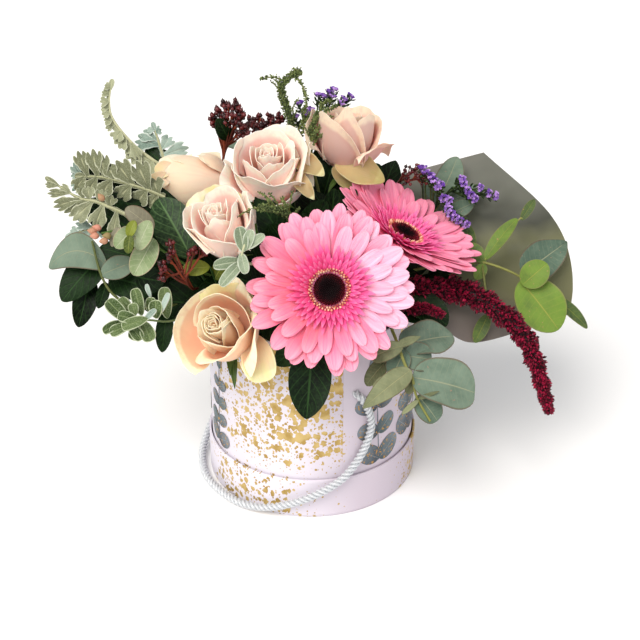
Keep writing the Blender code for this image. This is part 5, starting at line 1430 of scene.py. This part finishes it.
def make_broad_leaves():
    leafy_stem("hypericum", "pale_leaf", [STEM, PALE_LEAF, PINK_BUD, OLIVE_LEAF, DUSK_LEAF], (-44, -6),
               [(-84, 34, 44), (-112, 50, 64), (-124, 56, 74)],
               [((-112, 55, 72), (-125, 30, 76), 17, (0.2, 0, 1)),
                ((-112, 61, 74), (-130, 75, 78), 13, OUT, {"look": 4}),
                ((-124, 61, 80), (-136, 48, 84), 13, OUT), ((-122, 47, 80), (-113, 66, 84), 13, OUT),
                ((-127, 55, 86), (-123, 66, 86), 7, OUT, {"look": 3}),
                ((-126, 56, 87), (-127, 44, 88), 7, OUT, {"look": 3}),
                ((-135, 62, 78), (-139, 49, 80), 6, OUT, {"look": 4})], radius=1.2,
               twigs=[([(-124, 56, 74), (-134, 60, 76), (-146, 58, 80)], 0.8)],
               buds=[(-149, 59, 80), (-146, 61, 79), (-147, 56, 82), (-141, 53, 83), (-139, 56, 82),
                     (-145, 80, 74)], grow=0.5, close=0.5, cup=0.25)
    leafy_stem("laurel_tall", "dark_leaf", [STEM, MID_LEAF], (-42, -14), [(-74, 22, 44), (-88, 42, 54)],
               [(1.0, (-112, 84, 46), 30, (0.2, 0, 1))], grow=0.65, close=0.6)
    leafy_stem("laurel_front", "dark_leaf", [STEM, DARK_LEAF], (-6, -50),
               [Vector((-4, -62, 153)), Vector((0, -74, 151)), Vector((1, -81, 147))],
               [(1.0, (-9, -66, 83), 29, (0.1, 0.2, 1), {"arch": 0.02}), (0.85, (-30, -30, 76), 18, OUT)],
               grow=0.6, close=0.7)
    leafy_stem("olive_leaves", "light_leaf", [STEM, OLIVE_LEAF], (-34, -28), [(-67, 20, 44), (-75, 36, 62)],
               [(1.0, (-94, 34, 64), 11, OUT), (0.85, (-62, 42, 66), 12, OUT)], radius=1.2)


# Berries and small flowers

STATICE_FLORETS = 13            # on each head
STATICE_BRACTS = 11
TWIG_FLORETS = 18
BRANCH_DENSITY = 4.2            # florets to a millimetre of a branch


def berry_stem(name, foot, places, start, step, heads, berry, more, spread, radius=1.3, leaves=()):
    """Drop-shaped berries in loose heads, each of one berry with more spread round it. A head's short
    red stalks leave the end of a twig. The first twig leaves the stem at the share start, and each other
    one a step further."""
    shape, draw, route = stemmed(name, foot, places, [radius, radius * 0.7])
    one = Shape(3)
    t = np.linspace(0, 1, 8)
    drop = list(zip(np.sin(math.pi * t**0.92) + 0.04, 2.2 * t - 1.0))
    one.turned(Matrix(), [*drop, (0.2, 1.26), (0.3, 1.4), (0.05, 1.32)], 10, 0.5)
    spots = []
    for number, head in enumerate(heads):
        place = at(head)
        root = on_route(route, start + step * number)
        away = (place - root).normalized()
        hub = place - away * min(2.4 * spread, (place - root).length * 0.6)
        shape.tube(smooth_route([root, root.lerp(hub, 0.5) - UP * 0.8, hub], 3), [0.9, 0.7], 6)
        for i in range(1 + more):
            off = scattered(draw).normalized() * (spread if i else 0)
            spot = place + off * draw.uniform(0.85, 1.45)
            shape.tube([hub, hub.lerp(spot, 0.6) - UP * 0.4, spot], [0.5, 0.4], 5)
            size = berry * (0.7 if i else 0.84) * draw.uniform(0.85, 1.1)
            spots.append((spot, spot - hub + away * 2, size))
    shape.copies(one, spots, 1)
    for share, tip, width, face in leaves:
        leaf(shape, on_route(route, share), tip, width, face, look=2)
    made(shape, name, [RED_STEM, BERRY, DARK_LEAF])


def make_berries():
    berry_stem("viburnum_top", (-22, 28), [(-56, 92, -14), (-70, 112, -2), (-66, 130, 8)], 0.8, 0.012,
               [(-67, 155, 14), (-61, 156, 12), (-72, 150, 14), (-65, 151, 18), (-58, 151, 16),
                (-76, 145, 14), (-69, 146, 18), (-63, 146, 20), (-56, 146, 16), (-74, 140, 14),
                (-60, 141, 18), (-55, 139, 14), (-53, 134, 12), (-57, 133, 16), (-66, 140, 16),
                (-50, 140, 8)], 2.3, 7, 2.6, 1.1, [(1.0, (-73, 143, 22), 12, OUT)])
    berry_stem("viburnum_back", (-10, 36), [(-36, 92, -22), (-38, 116, -14), (-38, 132, -8)], 0.7, 0.035,
               [(-51, 145, -6), (-46, 147, -6), (-41, 144, -6), (-37, 147, -6), (-31, 145, -6),
                (-28, 148, -6), (-42, 141, -2), (-34, 141, -2), (-47, 139, -2)], 2.3, 7, 2.6)
    berry_stem("viburnum_left", (-36, -22), [Vector((-74, -23, 157)), (-88, 22, 62), (-93, 34, 72)],
               0.7, 0.035,
               [(-100, 51, 78), (-100, 46, 80), (-100, 41, 82), (-105, 33, 78), (-107, 38, 78), (-84, 48, 76),
                (-78, 46, 74), (-88, 44, 74), (-106, 28, 76)], 2.3, 4, 2.4, 1.2)
    berry_stem("viburnum_right", (26, 26),
               [Vector((44, 58, 172)), Vector((60, 68, 192)), Vector((68, 62, 206))], 0.76, 0.04,
               [(71, 104, 2), (62, 108, 0), (67, 109, 0), (72, 111, -4), (75, 102, 0), (64, 101, 2)],
               1.9, 4, 2.6)


def statice(name, foot, places, near, heads):
    """Stiff twigs that end in small heads of papery purple florets over combs of green bracts. Each
    head is (share of the way along the stem, right, up), and all are as near."""
    shape, draw, route = stemmed(name, foot, places, [1.3, 0.9])
    floret = cup(0.95, 2.4)
    for share, right, up in heads:
        tip = seen(right, up, near)
        root = on_route(route, share)
        away = (tip - root).normalized()
        shape.tube(smooth_route([root, root.lerp(tip, 0.5) - UP * 1.5, tip], 4), [0.7, 0.6], 6)
        leans = [aside(away, i * GOLDEN_TURN, Vector((0.2, 0.5, 0.8))) for i in range(STATICE_FLORETS)]
        spots = []
        for i, lean in enumerate(leans):
            reach = 2.3 * math.sqrt((i + 0.5) / STATICE_FLORETS)
            spots.append((tip + lean * reach + away * (0.6 - 0.35 * reach) + UP * 0.3,
                          away * 0.9 + lean * 0.5 + UP * 0.6, draw.uniform(0.75, 1.1), draw.random()))
        shape.copies(floret, spots, 1)
        for i, lean in enumerate(leans[:STATICE_BRACTS]):
            spot = tip - away * (0.8 + 0.8 * i) + lean * 0.5
            leaf(shape, spot, spot + away * 3.4 + lean * 3.4, 1.7, lean, rows=6, cols=3)
    made(shape, name, [STATICE_GREEN, STATICE])


def tassel(name, paints, foot, places, flowers_from, thick, floret, density, twigs=(), branches=()):
    """A spike, crowded with tiny florets that stand out of it in tufts. Each side twig is (share of the
    way along the spike, length), and each branch is (places, how far its florets stand out)."""
    shape, draw, route = stemmed(name, foot, places, [1.3, 0.9], 0.3)
    core = route[int(flowers_from * (len(route) - 1)):]
    shares = [i / (3 * len(core) - 1) for i in range(3 * len(core))]
    line = [on_route(core, share) for share in shares]
    shape.tube(line, [thick(share) * 0.5 for share in shares], 10, 0.0, 1)
    long = distances(line)[-1]
    total = int(long * density)
    spots = []
    for i in range(total):
        share = (i + draw.random()) / total
        ahead = heading(line, share, 0.01)
        turn = i * GOLDEN_TURN + draw.uniform(-0.3, 0.3)
        lean = aside(ahead, turn)
        tuft = 0.8 + 0.2 * math.sin(share * long / 2.3 + 3 * math.cos(turn))
        spot = on_route(line, share) + lean * thick(share) * draw.uniform(0.42, 0.92) * tuft
        axis = lean + ahead * 0.5 + scattered(draw, 0.5)
        spots.append((spot, axis, draw.uniform(0.8, 1.25), held(draw.gauss(0.4, 0.25))))
    shape.copies(floret, spots, 1)
    for share, reach in twigs:
        root = on_route(core, share)
        ahead = heading(core, share, 0.02)
        lean = aside(ahead, draw.uniform(0, 6.28))
        tip = root + (lean + ahead * 0.8 + UP * 0.3).normalized() * reach
        twig = smooth_route([root, root.lerp(tip, 0.5) + UP * 0.12 * reach, tip], 6)
        shape.tube(twig, [0.5, 0.35], 5, 0.4)
        spots = [on_route(twig, 0.25 + 0.75 * i / (TWIG_FLORETS - 1)) for i in range(TWIG_FLORETS)]
        axes = [(tip - root).normalized() * 0.7 + scattered(draw) for _ in spots]
        shape.copies(floret, zip(spots, axes, [draw.uniform(0.7, 1.1) for _ in spots]), 1)
    for points, wide in branches:
        branch = smooth_route(points, 6)
        shape.tube(branch, [0.7, 0.4], 6, 0.4)
        spots, axes = [], []
        for _ in range(int(BRANCH_DENSITY * distances(branch)[-1])):
            share = draw.random()
            lean = scattered(draw).normalized()
            tuft = 0.55 + 0.45 * math.sin(31 * share)
            spots.append(on_route(branch, share) + lean * wide * draw.uniform(0.3, 1.0) * tuft)
            axes.append(lean + (branch[-1] - branch[0]).normalized() * 0.6)
        shape.copies(floret, zip(spots, axes, [draw.uniform(0.7, 1.2) for _ in spots]), 1)
    made(shape, name, paints)


# (share of the way along the spike, length) of the side twigs of the filler
TWIGS = tuple((0.04 + 0.06 * i, 7.0 + 3.5 * (i % 4)) for i in range(16))


def make_small_flowers():
    statice("statice_top", (4, 42), [(-10, 116, -28), (0, 142, -16)], -4,
            [(0.96, 10, 167), (0.94, 7, 165), (0.92, 3, 162), (0.88, -1, 163), (1.0, 22, 162),
             (0.98, 17, 160), (0.94, 15, 157), (0.84, -7, 152), (0.8, -10, 149), (0.8, -15, 157),
             (0.74, -18, 147), (0.95, 9, 162)])
    statice("statice_right", (44, 14),
            [Vector((68, 36, 162)), Vector((90, 62, 178)), Vector((104, 63, 196))], 4,
            [(0.66, 74, 109), (0.68, 76, 106), (0.73, 80, 103), (0.75, 82, 100), (0.8, 87, 97),
             (0.79, 85, 95), (0.92, 102, 101), (0.94, 103, 98), (0.96, 106, 93), (0.97, 108, 90),
             (1.0, 115, 95), (1.0, 121, 91), (1.0, 126, 89), (0.86, 89, 87), (0.88, 93, 86), (0.86, 92, 80),
             (0.87, 94, 77), (0.88, 97, 74), (0.9, 100, 72), (0.91, 105, 69), (0.98, 111, 87)])
    red, green = [RED_STEM, AMARANTH], [WOODY, MOSS]
    crumb, bead = bud(0.82, 2.6, 5, 2), bud(0.72, 1.9, 5, 2)
    tassel("amaranth_long", red, (46, -18),
           [Vector((60, -22, 158)), Vector((74, -23, 158)), (86, 21, 34), (98, 21, 35), (112, 14, 42),
            (130, 1, 48), (143, -16, 54), (150, -36, 55), (154, -51, 54), (158, -63, 52)], 0.2,
           lambda t: 11.0 * (1 - t)**0.55 * min(1, 0.55 + 1.6 * t) + 1.2, crumb, 34)
    tassel("amaranth_short", red, (40, -30),
           [Vector((54, -36, 158)), (64, 8, 50), (74, 8, 54), (84, 3, 56)], 0.5,
           lambda t: 5.0 * (1 - 0.75 * t), crumb, 24)
    tassel("filler_top", green, (-2, 20),
           [(-20, 100, -6), (-19, 124, 2), (-21, 143, 2), (-25, 156, 0), (-28, 166, -2), (-26, 174, -4),
            (-19, 179, -4), (-14, 180, -2)], 0.39, lambda t: 4.0 * (1 - t)**1.2 + 1.0, bead, 9,
           twigs=TWIGS[:9],
           branches=[([(-26, 174, -4), (-34, 177, -4), (-43, 176, -6)], 2.2),
                     ([(-24, 174, -4), (-18, 182, -2), (-13, 178, 0)], 2.8),
                     ([(-18, 178, -2), (-12, 168, 2), (-10, 158, 4), (-12, 146, 7), (-12, 136, 7)], 1.6),
                     ([(-20, 132, 3), (-12, 142, 6), (-6, 150, 6)], 1.8),
                     ([(-20, 126, 3), (-14, 134, 8), (-8, 141, 8)], 2.2),
                     ([(-20, 122, 3), (-26, 132, 4), (-30, 138, 2)], 1.8)])
    tassel("filler_side", green, (4, 8),
           [(2, 72, 8), (-2, 96, 16), (-8, 116, 24), (-7, 128, 25), (-5, 138, 25), (-1, 147, 24)], 0.5,
           lambda t: 2.9 * (1 - 0.6 * t), bead, 9, twigs=TWIGS[:10],
           branches=[([(-7, 124, 25), (-3, 133, 27), (3, 140, 27), (9, 144, 26)], 1.7),
                     ([(-8, 120, 25), (-6, 128, 27), (3, 130, 28)], 1.5),
                     ([(-3, 142, 25), (4, 148, 24), (12, 152, 22)], 2.0),
                     ([(-1, 146, 24), (2, 154, 20), (8, 157, 18)], 1.8)])
    tassel("filler_middle", green, (-4, -12),
           [(-14, 44, 44), (-17, 64, 70), (-25, 72, 88), (-40, 74, 95)], 0.5, lambda t: 3.0 * (1 - 0.4 * t),
           bead, 9, twigs=TWIGS)


def leaf_fan(name, foot, places, length, width):
    """Filler: a stem with a leaf on either side and one at its end."""
    shape, _, route = stemmed(name, foot, places, [1.4, 0.84])
    for share, lean in ((0.45, -0.9), (0.725, 0.9), (1.0, 0.0)):
        root = on_route(route, share)
        ahead = heading(route, share, 0.05)
        way = (ahead + ahead.cross(UP).normalized() * lean + UP * 0.25).normalized()
        face = (UP - way * way.z).normalized()
        leaf(shape, root, root + way * length, width, face, 0.6, 0.75, 0.1, look=1)
    made(shape, name, [STEM, DARK_LEAF])


# (root, tip, width, face) of the dark leaves between the blooms: foliage that also stands in for the shade in
# the gaps there
INNER_SHADE_LEAVES = (
    ((2, 66, 0), (4, 112, -6), 24, (0.1, 0.1, 1)),
    ((6, 70, 8), (26, 92, 24), 20, (0.2, 0.5, 1)),
    ((-4, 66, 10), (-8, 98, -2), 22, (-0.2, 0.2, 1)),
    ((-10, 58, 20), (4, 84, 34), 20, (0.1, 0.5, 1)),
    ((-20, 46, 30), (-34, 66, 50), 20, (-0.2, 0.4, 1)),
    ((-24, 40, 40), (-18, 62, 62), 18, (0.0, 0.4, 1)),
    ((-50, 20, 30), (-84, 20, 50), 24, (-0.2, 0.2, 1)),
    ((-56, 26, 20), (-92, 46, 34), 26, (-0.3, 0.3, 1)),
    ((-54, 30, 10), (-86, 66, 14), 26, (-0.3, 0.3, 1)),
    ((-60, 14, 40), (-100, 0, 56), 22, (-0.2, 0.2, 1)),
    ((-40, 30, 40), (-44, 6, 70), 22, (-0.1, 0.2, 1)),
    ((-30, 16, 56), (-34, -14, 76), 22, (0.0, 0.2, 1)),
    ((40, 30, 20), (74, 24, 26), 22, (0.3, 0.3, 1)),
    ((44, 24, 30), (70, -2, 46), 22, (0.3, 0.1, 1)),
    ((30, 60, 0), (56, 96, -8), 22, (0.2, 0.3, 1)),
    ((34, 56, -10), (74, 84, -18), 24, (0.3, 0.3, 1)),
    ((-20, 70, -20), (-42, 108, -22), 24, (-0.2, 0.3, 1)),
    ((-12, 74, -24), (-14, 120, -28), 24, (0.0, 0.3, 1)),
    ((-60, 14, 30), (-118, 32, 40), 26, (-0.2, 0.2, 1)),
    ((-70, 10, 36), (-126, 14, 44), 28, (-0.1, 0.1, 1)),
    ((-70, 30, 30), (-128, 50, 36), 26, (-0.2, 0.2, 1)),
    ((-48, 10, 40), (-72, 20, 62), 24, (0.0, 0.2, 1)),
    ((-36, 20, 50), (-60, 30, 74), 24, (0.0, 0.2, 1)),
    ((-20, 60, 30), (-24, 36, 60), 26, (0.0, 0.2, 1)),
    ((-54, 60, 0), (-96, 92, 4), 24, (-0.2, 0.2, 1)),
    ((-50, 60, -6), (-72, 96, -2), 22, (-0.2, 0.2, 1)),
    ((-60, 70, -16), (-128, 104, -14), 26, (0.0, 0.2, 1)),
    ((-60, 60, 0), (-146, 92, 22), 26, (0.0, 0.1, 1)),
    ((6, 60, 20), (10, 92, 34), 18, (0.2, 0.4, 1)),
    ((-20, 44, 36), (-44, 86, 48), 22, (0.0, 0.3, 1)),
    ((-36, 30, 44), (-54, 62, 50), 18, (0.0, 0.2, 1)),
    ((2, 88, 4), (12, 124, 8), 20, (0.2, 0.3, 1)),
    ((18, 80, -6), (44, 114, -10), 24, (0.2, 0.3, 1)),
    ((-100, 44, 34), (-166, 82, 40), 30, (0.0, 0.2, 1)),
    ((-100, 34, 44), (-152, 50, 50), 22, (0.0, 0.2, 1)),
    ((-90, 66, 24), (-168, 108, 34), 28, (0.0, 0.2, 1)),
    ((-86, 88, -14), (-128, 126, -12), 22, (0.0, 0.2, 1)),
    ((-78, 84, -8), (-122, 104, 0), 20, (0.0, 0.2, 1)),
    ((4, 96, 4), (-2, 124, 8), 14, (0.0, 0.3, 1)),
    ((62, 18, 40), (88, -4, 46), 22, (0.1, 0.3, 1)),
)


def make_filler():
    """Dark leaves low among the stems, all round, and dark leaves that fill the gaps between the blooms,
    partly foliage and partly a stand-in for the shade in those gaps.
    """
    dark = [STEM, DARK_LEAF]
    leafy_stem("laurel_middle", "dark_leaf", dark, (14, 6), [Vector((14, 8, 168)), Vector((12, 12, 186))],
               [(0.85, Vector((26, 32, 198)), 20, UP), (0.93, Vector((-6, 2, 202)), 18, UP),
                (1.0, Vector((2, 28, 208)), 18, UP), *INNER_SHADE_LEAVES])
    leafy_stem("laurel_right", "dark_leaf", dark, (54, -8), [Vector((66, 0, 150)), Vector((84, 10, 149))],
               [(0.75, Vector((88, 38, 155)), 18, UP), (0.85, Vector((104, 0, 149)), 14, UP),
                (1.0, Vector((112, 22, 150)), 18, UP)])
    leaf_fan("laurel_back_right", (32, 36), [Vector((42, 58, 160)), Vector((52, 74, 178))], 34, 24)
    leaf_fan("laurel_back", (12, 48), [Vector((14, 74, 156)), Vector((14, 94, 156))], 40, 26)
    leaf_fan("laurel_back_left", (-28, 44), [Vector((-42, 66, 158)), Vector((-58, 86, 162))], 40, 26)
    leaf_fan("laurel_left", (-54, 10), [Vector((-78, 20, 154)), Vector((-98, 28, 158))], 36, 24)


# Floor, light and camera

def lamp(name, kind, way, size, power, colour):
    """A soft light from the way given. A sun's size is its angle in degrees, and a disc's is in metres."""
    light = bpy.data.lights.new(name, kind)
    if kind == "SUN":
        light.angle = math.radians(size)
    else:
        light.shape = "DISK"
        light.size = size
    light.energy = power
    light.color = rgb(colour)[:3]
    obj = bpy.data.objects.new(name, light)
    obj.location = Vector(way) + Vector((0, 0, 0.15))
    obj.rotation_euler = Vector(way).to_track_quat("Z", "Y").to_euler()
    bpy.context.scene.collection.objects.link(obj)


def make_stage():
    scene = bpy.context.scene
    world = bpy.data.worlds.new("studio")
    world.use_nodes = True
    background = world.node_tree.nodes["Background"]
    background.inputs["Color"].default_value = (1.0, 1.0, 1.0, 1.0)
    background.inputs["Strength"].default_value = WORLD_STRENGTH
    scene.world = world

    p = Paint("floor")
    p.done(p.mixed(p.noise(200, 2), "#F6F6F6", "#FAFAFA"), 0.9, Specular_IOR_Level=0.1)
    mesh = bpy.data.meshes.new("floor")
    corners = ((-1, -1), (1, -1), (1, 1), (-1, 1))
    mesh.from_pydata([(x * FLOOR_REACH, y * FLOOR_REACH, 0) for x, y in corners], [], [(0, 1, 2, 3)])
    mesh.materials.append(p.material)
    floor = bpy.data.objects.new("floor", mesh)
    scene.collection.objects.link(floor)

    lamp("key", "SUN", (-0.58, -0.84, 1.2), 42.0, 2.95, "#FFFAF4")
    lamp("fill", "AREA", (1.0, -0.9, 0.7), 0.9, 3.6, "#F4F6FF")

    back = Vector((0, -math.cos(VIEW_TILT), math.sin(VIEW_TILT)))
    camera = bpy.data.objects.new("camera", bpy.data.cameras.new("camera"))
    camera.data.lens = VIEW_LENS
    camera.data.clip_start = 0.05
    camera.location = (VIEW_MIDDLE + back * VIEW_DISTANCE) * MM
    camera.rotation_euler = (-back).to_track_quat("-Z", "Y").to_euler()
    scene.collection.objects.link(camera)
    scene.camera = camera
    scene.view_settings.view_transform = "Standard"


make_stage()
make_rope()
make_box()
make_film()
make_blooms()
make_eucalyptus()
make_silver_leaves()
make_broad_leaves()
make_berries()
make_small_flowers()
make_filler()
dress_frame_nodes()
